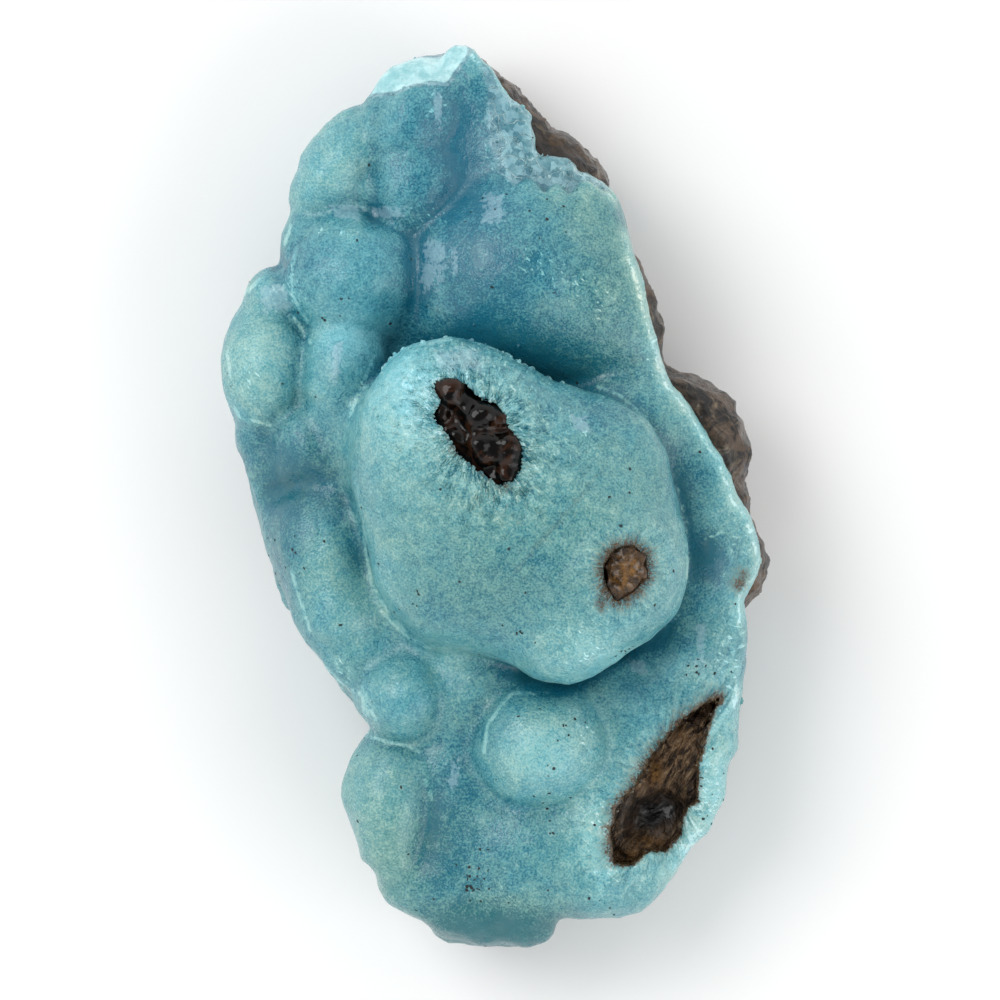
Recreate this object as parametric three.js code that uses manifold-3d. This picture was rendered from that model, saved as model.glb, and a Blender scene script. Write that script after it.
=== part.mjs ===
// A hand specimen of hemimorphite: a blue-green crust of grown-together round lobes, about 3 mm thick, on a
// lump of brown limonite. It lies on its broken back, lobes up. Millimetres, +Z up, +Y along its length
// towards the pointed end. The origin is on the resting surface, under the middle of the specimen.
import * as THREE from 'three';
import { mergeVertices } from 'three/addons/utils/BufferGeometryUtils.js';
import loadManifold from 'manifold-3d';

const CRUST_THICKNESS = 3.2;
const SEAM_GAP = 0.3; // free space between the crust and the stone under it
const KNOB_TOP = 20.9; // highest point, on the large lobe with the two holes
const FLANK_TOP = 12.8; // usual height of the surface around the knob
const BACK_LIFT = 2.2; // how far the broken back rises from its flat middle to the rim
const REST_PATCH = [17.2, 35]; // width and length of the oval in which the back is flat
const CORE_DEPTH = 0.9; // how far below the knob's top the stone in its holes ends
const MIDDLE = [-0.1, 0]; // plan position of the middle of the specimen
const CRUST_CELL = 1.45; // size of the facets
const STONE_CELL = 1.75;

const wasm = await loadManifold();
wasm.setup();

// One round lobe: an ellipsoid given by the plan position and height of its top, its half widths across,
// along and in height, and its turn in plan.
function lobe(x, y, top, across, along, tall, turnDeg = 0) {
  const turn = THREE.MathUtils.degToRad(turnDeg);
  return { x, y, z: top - tall, across, along, tall, cos: Math.cos(turn), sin: Math.sin(turn) };
}

// The crust's lobes in groups. Lobes of one group flow into each other over the width blend, and the group
// meets what is around it over the width seam.
const body = { blend: 3.5, seam: 1.0, lobes: [
  lobe(-4.0, 19.6, 11.0, 5.4, 6.2, 9.0, -12), // back of the pointed end
  lobe(-2.3, 23.8, 9.8, 2.5, 3.5, 7.0, -8), // its tip
  lobe(-4.6, 11.5, 12.2, 3.2, 3.6, 8.0),
  lobe(2.4, 15.2, 13.4, 5.2, 5.4, 9.5, 35),
  lobe(-9.8, 10.8, 11.0, 5.0, 5.4, 8.5),
  lobe(-9.9, -1.0, 10.2, 4.2, 7.6, 8.0, 12),
  lobe(0, 0.2, FLANK_TOP + 2, 12.0, 11.0, 11.0), // middle, under the knob
  lobe(9.4, -4.2, FLANK_TOP, 5.6, 11.4, 9.0, 14), // right flank
  lobe(8.9, 3.6, FLANK_TOP - 0.2, 3.6, 5.4, 7.0, 30),
  lobe(-0.6, -12.6, FLANK_TOP + 0.6, 7.6, 7.0, 10.0),
  lobe(8.2, -15.6, 11.0, 5.7, 8.2, 9.0, -14),
  lobe(0, -21.8, 9.6, 6.4, 4.6, 8.0), // blunt end
] };
const upperLeft = { blend: 1.0, seam: 1.4, lobes: [
  lobe(-4.6, 22.0, 12.8, 3.0, 3.6, 4.5),
  lobe(-9.2, 20.0, 11.6, 2.6, 3.9, 4.5, -28),
  lobe(-5.4, 17.8, 12.0, 2.8, 2.8, 4.0),
  lobe(-8.4, 13.4, 13.8, 3.8, 3.5, 4.2), // the roundest lobe
  lobe(-10.9, 15.4, 9.4, 1.9, 2.3, 4.0),
  lobe(-13.3, 11.7, 9.8, 2.0, 2.0, 5.0),
  lobe(-13.7, 8.2, 11.6, 2.9, 3.9, 5.0), // left cheek
  lobe(-14.1, 4.9, 9.8, 2.1, 2.2, 4.5),
  lobe(-9.3, 7.0, 13.2, 2.8, 3.5, 4.0),
  lobe(-10.7, 4.2, 12.0, 2.2, 2.4, 4.0),
] };
const dome = { blend: 2.5, seam: 1.2, lobes: [
  lobe(2.0, 12.4, 15.4, 6.4, 6.6, 6.5),
  lobe(5.9, 11.4, 12.6, 3.8, 5.0, 8.0, 22),
  lobe(3.0, 18.2, 11.6, 3.2, 3.8, 7.0, 30),
] };
const lowerLeft = { blend: 1.6, seam: 1.4, lobes: [
  lobe(-12.7, 1.8, 8.8, 2.7, 3.6, 6.0, 20), // floor of the dip in the left edge
  lobe(-10.3, -3.2, 12.0, 3.0, 3.6, 4.5, 14),
  lobe(-8.9, -7.2, 11.9, 2.9, 3.0, 4.0),
  lobe(-8.9, -10.4, 8.6, 1.3, 3.6, 3.5, 38), // thin flake at the edge
] };
const lower = { blend: 1.6, seam: 1.5, lobes: [
  lobe(-5.1, -12.1, 13.6, 2.8, 2.9, 3.8),
  lobe(-1.2, -11.6, 13.2, 2.8, 2.6, 4.0),
  lobe(-2.3, -17.4, 12.4, 2.6, 3.8, 4.0),
  lobe(2.4, -20.6, 12.8, 3.8, 3.4, 4.0),
  lobe(-2.9, -23.2, 10.6, 3.6, 3.2, 4.6),
  lobe(-0.4, -24.7, 8.4, 4.4, 2.9, 5.0),
  lobe(6.2, -22.8, 10.8, 4.0, 3.3, 5.0, 4),
  lobe(9.4, -11.6, 12.0, 3.6, 3.0, 4.0),
  lobe(12.2, -14.3, 11.4, 2.4, 5.2, 6.0), // raised rim outside the open cavity
  lobe(9.2, -20.8, 11.4, 2.7, 4.3, 6.0, -24),
] };
const heel = { blend: 1.2, seam: 0.9, lobes: [
  lobe(-6.6, -17.9, 12.0, 2.6, 3.9, 5.0),
  lobe(-5.7, -21.4, 10.6, 2.5, 2.9, 4.6),
] };
const pearl = { blend: 1.0, seam: 0.9, lobes: [
  lobe(3.0, -15.4, 14.9, 3.6, 3.6, 4.0),
  lobe(4.6, -17.2, 13.4, 3.0, 3.0, 4.0),
] };
const knob = { blend: 2.4, seam: 1.6, lobes: [
  lobe(1.6, -1.5, KNOB_TOP - 1.3, 8.9, 8.1, 6.5, -15),
  lobe(-2.2, 3.4, KNOB_TOP, 6.3, 6.1, 7.0), // head, with the long hole
  lobe(-3.8, -2.6, KNOB_TOP - 3.3, 4.6, 5.6, 5.0),
  lobe(6.6, -5.2, KNOB_TOP - 0.7, 5.1, 5.0, 6.5), // tail, with the small hole
  lobe(4.4, -8.7, KNOB_TOP - 3.1, 3.2, 2.6, 5.0),
  lobe(6.0, 1.2, KNOB_TOP - 2.7, 4.8, 4.4, 6.0),
  lobe(0.6, -1.4, KNOB_TOP - 4.3, 10.6, 8.9, 6.0, -12), // skirt
  lobe(-5.6, -0.6, KNOB_TOP - 5.1, 4.6, 6.4, 6.0, 14),
  lobe(-1.6, -6.2, KNOB_TOP - 5.3, 5.4, 5.0, 6.0),
] };
const LOBED = [upperLeft, lowerLeft, lower, heel, pearl]; // groups with open creases between their lobes
const SMOOTH = [body, dome, knob];
const CREASE_FILL = { softness: 1.0, depth: 0.95 }; // how far the creases between lobes are closed

// Broken faces: a plane through a point, cut only within a reach of it.
const BREAKS = [
  { at: [-4.0, 25.0, 11.8], facing: [-0.15, 0.78, 0.62], reach: 4.5 }, // pointed end
  { at: [12.8, -17.0, 10.2], facing: [0.5, -0.12, 0.86], reach: 7.5 }, // rim by the cavity
];

// Limonite that stands out past the crust along the right edge, and the bed of the open cavity.
const stoneLobes = [
  lobe(-1.2, 21.6, 6.4, 3.4, 4.0, 7.0), // under the pointed end
  lobe(0.2, 24.0, 8.0, 1.8, 2.7, 6.0, 45),
  lobe(4.1, 20.5, 9.4, 1.9, 2.6, 7.0, 50),
  lobe(5.0, 17.4, 7.4, 2.2, 3.0, 6.0, 20),
  lobe(8.5, 10.2, 8.0, 1.75, 4.2, 7.0, 14),
  lobe(6.0, 10.0, 7.0, 4.0, 7.0, 8.0, 10),
  lobe(12.3, 4.3, 7.4, 2.4, 3.2, 5.0, 40), // horn
  lobe(13.4, 1.0, 7.0, 2.1, 3.6, 5.0, 12),
  lobe(10.6, -2.0, 6.6, 4.4, 9.0, 7.0, 8),
  lobe(14.7, -4.3, 7.0, 1.8, 2.2, 5.0),
  lobe(13.4, -8.6, 6.6, 1.8, 3.6, 5.0),
  lobe(10.3, -17.4, 9.4, 2.6, 5.4, 5.0, -30),
];
const pocket = lobe(9.4, -19.7, 15.5, 2.2, 2.1, 4.7); // pit in the cavity's bed

// Outlines in plan of the two holes in the knob and of the open cavity.
const headHole = [
  [-2.9, 6.9], [-1.7, 6.7], [-0.9, 5.9], [0.2, 5.4], [0.9, 4.2], [1.7, 2.9], [1.8, 1.6], [1.2, 0.8],
  [0.2, 0.5], [-0.9, 1.4], [-2.2, 2.4], [-2.9, 3.7], [-3.7, 4.7], [-3.2, 5.6], [-3.6, 6.4],
];
const tailHole = [
  [7.2, -3.3], [8.3, -3.0], [9.1, -3.6], [9.2, -4.8], [8.5, -5.7], [7.5, -6.4], [6.8, -5.6], [6.6, -4.3],
];
const cavity = [
  [14.0, -12.1], [13.2, -13.3], [12.9, -14.5], [12.4, -16.2], [12.3, -18.5], [11.5, -19.2], [11.4, -20.5],
  [10.5, -21.6], [9.4, -21.5], [8.5, -22.3], [7.3, -22.4], [7.2, -20.2], [7.6, -18.9], [8.8, -17.6],
  [9.4, -16.3], [10.6, -14.8], [11.6, -13.6],
];

// ---- Distance fields: negative inside, in millimetres ----

function softMin(a, b, width) {
  const h = Math.max(width - Math.abs(a - b), 0) / width;
  return Math.min(a, b) - h * h * width * 0.25;
}

function softMax(a, b, width) {
  return -softMin(-a, -b, width);
}

function toLobe(x, y, z, l) {
  const dx = x - l.x;
  const dy = y - l.y;
  const u = (l.cos * dx + l.sin * dy) / l.across;
  const v = (l.cos * dy - l.sin * dx) / l.along;
  const w = (z - l.z) / l.tall;
  const size = Math.hypot(u, v, w);
  return size * (size - 1) / (Math.hypot(u / l.across, v / l.along, w / l.tall) + 1e-9);
}

function toBreak(x, y, z, { at, facing, reach }) {
  const [dx, dy, dz] = [x - at[0], y - at[1], z - at[2]];
  const plane = (dx * facing[0] + dy * facing[1] + dz * facing[2]) / Math.hypot(...facing);
  return Math.max(-plane, Math.hypot(dx, dy, dz) - reach);
}

// The outer form, as it was before any of it broke away.
function grownForm(x, y, z) {
  let nearest = Infinity;
  let filled = 0;
  const fill = (distance) => Math.exp(Math.min(-distance / CREASE_FILL.softness, 12));
  for (const group of [...SMOOTH, ...LOBED]) {
    let ofGroup = Infinity;
    for (const l of group.lobes) {
      const distance = toLobe(x, y, z, l);
      if (LOBED.includes(group)) filled += fill(distance);
      ofGroup = ofGroup === Infinity ? distance : softMin(ofGroup, distance, group.blend);
    }
    if (SMOOTH.includes(group)) filled += fill(ofGroup);
    nearest = nearest === Infinity ? ofGroup : softMin(nearest, ofGroup, group.seam);
  }
  const filling = -CREASE_FILL.softness * Math.log(filled + 1e-12) + CREASE_FILL.depth;
  return softMin(nearest, filling, 0.9);
}

// Height of the broken back: below the resting surface in the middle, where it is cut off flat.
function backHeight(x, y) {
  const fromMiddle = (x / REST_PATCH[0]) ** 2 * 4 + ((y + 0.5) / REST_PATCH[1]) ** 2 * 4;
  const depth = 1.4;
  const rise = (BACK_LIFT + depth) * (1 - Math.exp(-0.9 * Math.max(fromMiddle - 0.35, 0)));
  const lumps = 0.5 * Math.cos(x / 1.9 + 0.6) * Math.cos(y / 2.6 + 0.4) * Math.min(fromMiddle, 1);
  return rise - depth + lumps;
}

function crustForm(x, y, z) {
  let distance = grownForm(x, y, z);
  for (const broken of BREAKS) distance = softMax(distance, -toBreak(x, y, z, broken), 0.5);
  return Math.max(distance, backHeight(x, y) + SEAM_GAP - z);
}


// ---- From a field to a closed mesh ----

function slope(field, [x, y, z]) {
  const h = 0.05;
  return [
    (field(x + h, y, z) - field(x - h, y, z)) / (2 * h),
    (field(x, y + h, z) - field(x, y - h, z)) / (2 * h),
    (field(x, y, z + h) - field(x, y, z - h)) / (2 * h),
  ];
}

// Moves a point along the field's slope to where the field has the value wanted.
function settle(field, point, wanted, furthest) {
  const gradient = slope(field, point);
  const length = Math.hypot(...gradient) + 1e-9;
  const step = THREE.MathUtils.clamp((wanted - field(...point)) / length, -furthest, furthest);
  return point.map((value, axis) => value + step * gradient[axis] / length);
}

// Surface nets: one vertex in each grid cell that the surface crosses, one quad over each crossed grid edge.
function surfaceNet(field, low, high, cell) {
  const count = low.map((value, axis) => Math.ceil((high[axis] - value) / cell) + 1);
  const place = (i, j, k) => [low[0] + i * cell, low[1] + j * cell, low[2] + k * cell];
  const slot = (i, j, k) => i + count[0] * (j + count[1] * k);
  const values = new Float64Array(count[0] * count[1] * count[2]);
  const eachPoint = (visit) => {
    for (let k = 0; k < count[2]; k++) {
      for (let j = 0; j < count[1]; j++) {
        for (let i = 0; i < count[0]; i++) visit(i, j, k);
      }
    }
  };
  eachPoint((i, j, k) => { values[slot(i, j, k)] = field(...place(i, j, k)); });

  const corners = [];
  for (let n = 0; n < 8; n++) corners.push([n & 1, (n >> 1) & 1, n >> 2]);
  const edges = [];
  for (let a = 0; a < 8; a++) {
    for (const bit of [1, 2, 4]) if (!(a & bit)) edges.push([a, a | bit]);
  }
  const positions = [];
  const vertexOf = new Map();
  eachPoint((i, j, k) => {
    if (i + 1 >= count[0] || j + 1 >= count[1] || k + 1 >= count[2]) return;
    const at = corners.map(([a, b, c]) => values[slot(i + a, j + b, k + c)]);
    const crossings = [];
    for (const [a, b] of edges) {
      if ((at[a] < 0) === (at[b] < 0)) continue;
      const t = at[a] / (at[a] - at[b]);
      crossings.push(corners[a].map((value, axis) => value + t * (corners[b][axis] - value)));
    }
    if (!crossings.length) return;
    const mean = [0, 1, 2].map((axis) => crossings.reduce((sum, c) => sum + c[axis], 0) / crossings.length);
    let point = place(i, j, k).map((value, axis) => value + mean[axis] * cell);
    for (let round = 0; round < 2; round++) point = settle(field, point, 0, cell * 0.3);
    vertexOf.set(slot(i, j, k), positions.length / 3);
    positions.push(...point);
  });

  const index = [];
  const steps = [[1, 0, 0], [0, 1, 0], [0, 0, 1]];
  eachPoint((i, j, k) => {
    steps.forEach((along, axis) => {
      const next = [i + along[0], j + along[1], k + along[2]];
      if (next.some((value, n) => value >= count[n])) return;
      const inside = values[slot(i, j, k)] < 0;
      if (inside === (values[slot(...next)] < 0)) return;
      const [p, q] = [steps[(axis + 1) % 3], steps[(axis + 2) % 3]];
      const around = [[0, 0], [1, 0], [1, 1], [0, 1]].map(([a, b]) => vertexOf.get(
        slot(i - a * p[0] - b * q[0], j - a * p[1] - b * q[1], k - a * p[2] - b * q[2])));
      if (!inside) around.reverse();
      const [a, b, c, d] = around;
      index.push(a, b, c, a, c, d);
    });
  });
  const geometry = new THREE.BufferGeometry();
  geometry.setAttribute('position', new THREE.Float32BufferAttribute(positions, 3));
  geometry.setIndex(index);
  return geometry;
}

// ---- The stone under the crust ----

const LOW = [-19, -30, -2.6];
const HIGH = [19, 30, 23];
const outside = surfaceNet(grownForm, LOW, HIGH, CRUST_CELL).attributes.position.array;

function toOutside(x, y, z) {
  let nearest = Infinity;
  for (let n = 0; n < outside.length; n += 3) {
    const [dx, dy, dz] = [x - outside[n], y - outside[n + 1], z - outside[n + 2]];
    nearest = Math.min(nearest, dx * dx + dy * dy + dz * dz);
  }
  return Math.sqrt(nearest);
}

// The stone is all that lies deeper than the crust's thickness, with the lobes that stand out past it.
function stoneForm(x, y, z) {
  const grownAt = grownForm(x, y, z);
  let distance = CRUST_THICKNESS + (grownAt < 0 ? -toOutside(x, y, z) : grownAt);
  for (const l of stoneLobes) distance = softMin(distance, toLobe(x, y, z, l), 2.2);
  distance = softMax(distance, -toLobe(x, y, z, pocket), 0.8);
  return softMax(distance, backHeight(x, y) - z, 0.3);
}

// ---- Solids ----

function toSolid(geometry) {
  const plain = geometry.clone();
  plain.deleteAttribute('normal');
  plain.deleteAttribute('uv');
  const merged = mergeVertices(plain, 1e-4);
  return new wasm.Manifold(new wasm.Mesh({
    numProp: 3,
    vertProperties: new Float32Array(merged.attributes.position.array),
    triVerts: new Uint32Array(merged.index.array),
  }));
}

function toGeometry(solid) {
  const { numProp, vertProperties, triVerts } = solid.getMesh();
  const positions = [];
  for (let n = 0; n < vertProperties.length; n += numProp) {
    positions.push(vertProperties[n] - MIDDLE[0], vertProperties[n + 1] - MIDDLE[1], vertProperties[n + 2]);
  }
  const geometry = new THREE.BufferGeometry();
  geometry.setAttribute('position', new THREE.Float32BufferAttribute(positions, 3));
  geometry.setIndex([...triVerts]);
  const flat = geometry.toNonIndexed();
  flat.computeVertexNormals();
  return flat;
}

// A straight-sided column over an outline in plan, the outline drawn in by inset.
function column(outline, bottom, top, inset = 0) {
  const middle = outline.reduce((sum, [x, y]) => [sum[0] + x, sum[1] + y], [0, 0])
    .map((value) => value / outline.length);
  const points = outline.map(([x, y]) => {
    const away = new THREE.Vector2(x - middle[0], y - middle[1]);
    away.setLength(Math.max(away.length() - inset, 0.3));
    return new THREE.Vector2(middle[0] + away.x, middle[1] + away.y);
  });
  const prism = new THREE.ExtrudeGeometry(new THREE.Shape(points), {
    depth: top - bottom,
    bevelEnabled: false,
  });
  prism.translate(0, 0, bottom);
  return toSolid(prism);
}

function largestPiece(solid) {
  return solid.decompose().sort((a, b) => b.volume() - a.volume())[0];
}

const aboveTable = toSolid(new THREE.BoxGeometry(60, 80, 60).translate(0, 0, 30));

// The stone reaches up into both holes of the knob.
function limoniteMatrix() {
  const coreTop = KNOB_TOP - CORE_DEPTH;
  const solid = toSolid(surfaceNet(stoneForm, LOW, HIGH, STONE_CELL))
    .add(column(headHole, 10, coreTop - 0.2, SEAM_GAP))
    .add(column(tailHole, 10, coreTop - 0.9, SEAM_GAP))
    .intersect(aboveTable);
  return largestPiece(solid);
}

function hemimorphiteCrust() {
  const roomForStone = (x, y, z) => stoneForm(x, y, z) - 1.5 * SEAM_GAP;
  const solid = toSolid(surfaceNet(crustForm, LOW, HIGH, CRUST_CELL))
    .subtract(toSolid(surfaceNet(roomForStone, LOW, HIGH, STONE_CELL)))
    .subtract(column(headHole, 10, 25))
    .subtract(column(tailHole, 10, 25))
    .subtract(column(cavity, 4, 25))
    .intersect(aboveTable);
  return largestPiece(solid);
}

function piece(name, solid, look) {
  const mesh = new THREE.Mesh(toGeometry(solid), new THREE.MeshStandardMaterial(look));
  mesh.name = name;
  return mesh;
}

const specimen = new THREE.Group();
specimen.add(piece('limonite_matrix', limoniteMatrix(), { color: 0x4a3527, roughness: 0.7, metalness: 0 }));
specimen.add(piece('hemimorphite_crust', hemimorphiteCrust(), {
  color: 0x74b4b8,
  roughness: 0.4,
  metalness: 0,
}));

export default specimen;
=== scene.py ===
import math

import bpy
import numpy as np
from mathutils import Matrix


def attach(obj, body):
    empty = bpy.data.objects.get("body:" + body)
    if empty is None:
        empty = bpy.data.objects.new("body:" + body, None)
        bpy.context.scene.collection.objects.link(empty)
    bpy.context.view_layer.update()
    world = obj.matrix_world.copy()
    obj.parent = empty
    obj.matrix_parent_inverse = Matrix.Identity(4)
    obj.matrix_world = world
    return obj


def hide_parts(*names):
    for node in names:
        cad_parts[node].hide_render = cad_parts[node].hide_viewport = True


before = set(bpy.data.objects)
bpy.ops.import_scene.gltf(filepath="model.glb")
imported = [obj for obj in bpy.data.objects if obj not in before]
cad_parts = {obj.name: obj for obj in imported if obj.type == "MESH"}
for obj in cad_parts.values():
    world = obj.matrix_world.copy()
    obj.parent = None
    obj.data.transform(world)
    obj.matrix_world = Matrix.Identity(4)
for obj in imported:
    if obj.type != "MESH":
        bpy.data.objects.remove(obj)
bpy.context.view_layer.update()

import openvdb
from mathutils import Vector

# ---------------------------------------------------------------------------------------------------------
# The form that the blue-green crust grew to: round lobes that merged, broken off all round in a ragged
# outline. It is worked out as a distance field in millimetres, negative inside, on a fine lattice.

CELL = 0.25  # step of the lattice
LOW = (-18.4, -29.4, -1.6)  # its first and last corners
HIGH = (18.4, 29.4, 22.2)
KNOB_TOP = 20.9  # heights above the face that the specimen lies on
FLANK_TOP = 12.6
SHOULDER = 8.4  # the crust between the lobes, near the outline

# The broad swells that the lobes stand on, as whole ellipsoids: plan x and y, height of the top, half widths
# across and along, half height, and the turn in plan in degrees.
SWELLS = (
    (-4.0, 19.6, 10.8, 5.4, 6.2, 9.0, -12),
    (-2.3, 23.8, 9.8, 2.5, 3.5, 7.0, -8),
    (-4.6, 11.5, 11.2, 3.2, 3.6, 8.0, 0),
    (2.4, 15.6, 12.0, 5.2, 5.4, 9.5, 35),
    (-9.8, 10.8, 10.6, 5.0, 5.4, 8.5, 0),
    (-9.9, -1.0, 9.8, 4.2, 7.6, 8.0, 12),
    (0.0, 0.2, 13.6, 12.0, 10.4, 11.0, 0),
    (9.4, -4.2, FLANK_TOP - 0.6, 5.6, 11.4, 9.0, 14),
    (8.9, 3.6, FLANK_TOP - 0.8, 3.6, 5.4, 7.0, 30),
    (-0.6, -12.6, 11.6, 7.6, 7.0, 10.0, 0),
    (8.2, -15.6, 10.8, 5.7, 8.2, 9.0, -14),
    (0.0, -21.8, 9.6, 6.4, 4.6, 8.0, 0),
)
# A lobe: plan x and y, height of its top, half widths across and along between its creases, how far the
# creases lie below its top, and its turn in plan in degrees.
LEFT_LOBES = (
    (-5.2, 22.9, 12.8, 2.5, 2.6, 1.0, 0),  # crown
    (-5.0, 19.0, 12.6, 2.6, 2.6, 0.9, 0),
    (-9.7, 20.2, 12.0, 2.7, 3.8, 1.4, -28),
    (-8.5, 13.4, 13.8, 3.6, 3.2, 1.6, 0),  # the roundest lobe
    (-11.9, 15.6, 11.6, 1.6, 1.9, 0.9, 0),
    (-13.4, 12.4, 11.4, 1.6, 1.7, 1.0, 0),
    (-13.9, 7.8, 12.2, 2.9, 3.5, 1.6, 0),  # cheek
    (-9.1, 7.3, 13.2, 1.9, 2.9, 0.9, 0),
    (-14.6, 3.6, 9.8, 1.6, 2.0, 0.8, 0),
    (-5.4, -12.3, 13.4, 2.5, 2.4, 1.5, 0),  # fist
)
HIP_LOBES = (
    (-12.6, 1.6, 9.4, 2.4, 2.2, 0.4, 0),  # floor of the dip in the left edge
    (-10.2, 3.3, 12.2, 2.2, 2.4, 0.7, 0),
    (-10.2, -3.3, 12.3, 2.8, 3.6, 1.4, 8),
    (-9.3, -7.2, 12.2, 2.8, 2.6, 1.3, 0),
    (-13.7, -3.4, 9.2, 1.4, 4.4, 1.0, 14),
    (-9.2, -11.2, 8.2, 1.3, 2.6, 0.8, 38),  # thin flake
)
HEEL_LOBES = (
    (-6.3, -18.3, 12.4, 3.1, 3.9, 1.7, 0),
    (-6.4, -21.8, 11.4, 2.2, 2.2, 1.3, 0),
)
LOW_LOBES = (
    (-1.4, -11.6, 12.4, 2.6, 2.2, 0.6, 0),
    (-7.8, -9.4, 11.6, 2.4, 1.8, 0.6, 0),
    (-2.3, -17.5, 11.6, 2.2, 3.6, 0.4, 0),
    (2.6, -21.6, 12.3, 3.8, 3.2, 0.9, 0),
    (-3.4, -23.5, 10.9, 3.4, 2.4, 0.9, 0),
    (6.6, -23.2, 11.2, 3.2, 2.8, 1.2, 0),
    (8.4, -12.8, 11.8, 3.0, 2.0, 0.4, 0),
    (11.3, -9.8, 12.4, 1.4, 1.4, 0.7, 0),
    (12.9, -15.0, 11.8, 2.0, 5.0, 1.2, 0),  # rim outside the cavity
    (6.4, -19.5, 12.2, 2.0, 4.0, 0.7, 0),  # rim inside it
)
NUB = ((-0.2, -26.2, 8.6, 3.8, 2.4, 1.3, 0),)  # at the lower end
FLANK_LOBES = (
    (12.5, -1.0, 12.6, 3.0, 6.0, 1.2, 0),
    (13.0, -8.5, 12.0, 2.4, 3.0, 1.0, 0),
    (8.6, 4.4, 13.6, 3.0, 3.0, 1.2, 0),
)
OVAL = ((13.2, -3.7, 12.7, 1.1, 1.5, 0.5, 0),)  # right of the knob
PEARL = ((2.8, -15.1, 14.6, 3.4, 3.25, 1.7, 0),)  # below the knob, nearly a ball
DOME_LOBES = (
    (1.8, 13.4, 15.0, 6.0, 5.2, 2.6, 0),
    (6.6, 11.2, 13.4, 3.6, 4.6, 2.0, 22),
    (3.2, 17.6, 12.6, 3.4, 3.0, 1.4, 0),
)
POINT_LOBES = (
    (-1.4, 20.8, 11.4, 2.0, 5.0, 0.5, 0),  # smooth valley up to the point
    (2.8, 21.0, 12.4, 3.2, 3.2, 1.2, 0),  # under the broken face beside it
)
KNOB_LOBES = (
    (-2.3, 3.5, KNOB_TOP, 6.2, 6.0, 4.0, 0),  # head, with the long hole
    (1.2, -1.2, KNOB_TOP - 0.9, 8.8, 7.9, 4.2, -20),
    (6.7, -4.6, KNOB_TOP - 0.7, 5.2, 5.2, 3.6, 0),  # tail, with the small hole
    (4.4, -8.3, KNOB_TOP - 2.6, 3.6, 3.5, 2.6, 0),
    (-4.4, -1.2, KNOB_TOP - 3.6, 4.2, 6.6, 3.2, 8),
    (6.4, 1.7, KNOB_TOP - 3.2, 4.6, 4.4, 3.0, 0),
    (-1.7, -5.6, KNOB_TOP - 4.0, 4.9, 4.1, 3.0, 0),
)
LOBE_REACH = 1.5  # a lobe's full half width, as a multiple of the half width seen between its creases
KNOB_REACH = 1.12
# The groups of lobes: the width over which a group's lobes flow into each other, and into the rest.
LOBE_GROUPS = (
    (FLANK_LOBES, 2.0, 1.4),
    (LOW_LOBES, 1.4, 1.0),
    (NUB, 1.0, 0.5),
    (POINT_LOBES, 1.2, 0.8),
    (DOME_LOBES, 2.2, 0.6),
    (HIP_LOBES, 1.2, 0.6),
    (LEFT_LOBES, 0.5, 0.5),
    (HEEL_LOBES, 1.6, 0.4),
    (PEARL, 0.5, 0.4),
    (OVAL, 0.5, 0.3),
)
# Rows of lobes round the flank: level, spacing, half width, how far in from the outline, and seed.
FLANK_ROWS = ((7.6, 4.4, 2.6, -0.45, 41), (4.0, 3.6, 2.2, 0.0, 42))
# Furrows between lobes that grew together: how deep, and the path from above.
FURROW_WIDTH = 0.75
FURROWS = (
    (0.50, ((-6.4, 24.6), (-6.9, 22.8))),
    (0.50, ((-7.3, 19.4), (-7.1, 17.0))),
    (0.38, ((-13.4, -0.2), (-12.2, 0.4), (-10.8, 0.9), (-9.4, 0.9), (-8.6, 0.0))),
    (0.30, ((-11.6, 5.2), (-10.6, 3.4), (-9.2, 1.6))),
    (0.20, ((-3.9, -18.5), (-4.1, -20.0), (-4.8, -22.0))),
)
# Where the knob flows softly into the crust: x, y, reach, and how much wider the blend is there.
KNOB_BLENDS = ((-9.2, 2.0, 4.5, 2.6), (-4.8, -8.6, 4.6, 2.2))
# The knob's outline from above.
KNOB_EDGE = (
    (-6.4, 8.0), (-5.3, 9.0), (-2.5, 9.45), (-0.9, 9.1), (1.8, 7.9), (3.6, 6.9), (6.4, 6.3), (9.1, 4.9),
    (10.4, 2.8), (11.5, -0.6), (11.9, -2.9), (11.9, -5.2), (11.4, -7.0), (10.9, -7.7), (9.7, -8.8),
    (8.4, -9.5), (7.7, -10.1), (6.4, -11.1), (4.7, -11.7), (2.4, -11.6), (1.2, -10.9), (-0.5, -10.2),
    (-4.2, -9.3), (-5.6, -8.2), (-6.5, -7.1), (-7.4, -5.5), (-7.7, -4.0), (-8.1, -1.9), (-8.9, 0.8),
    (-9.0, 2.6), (-8.3, 5.2),
)
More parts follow.
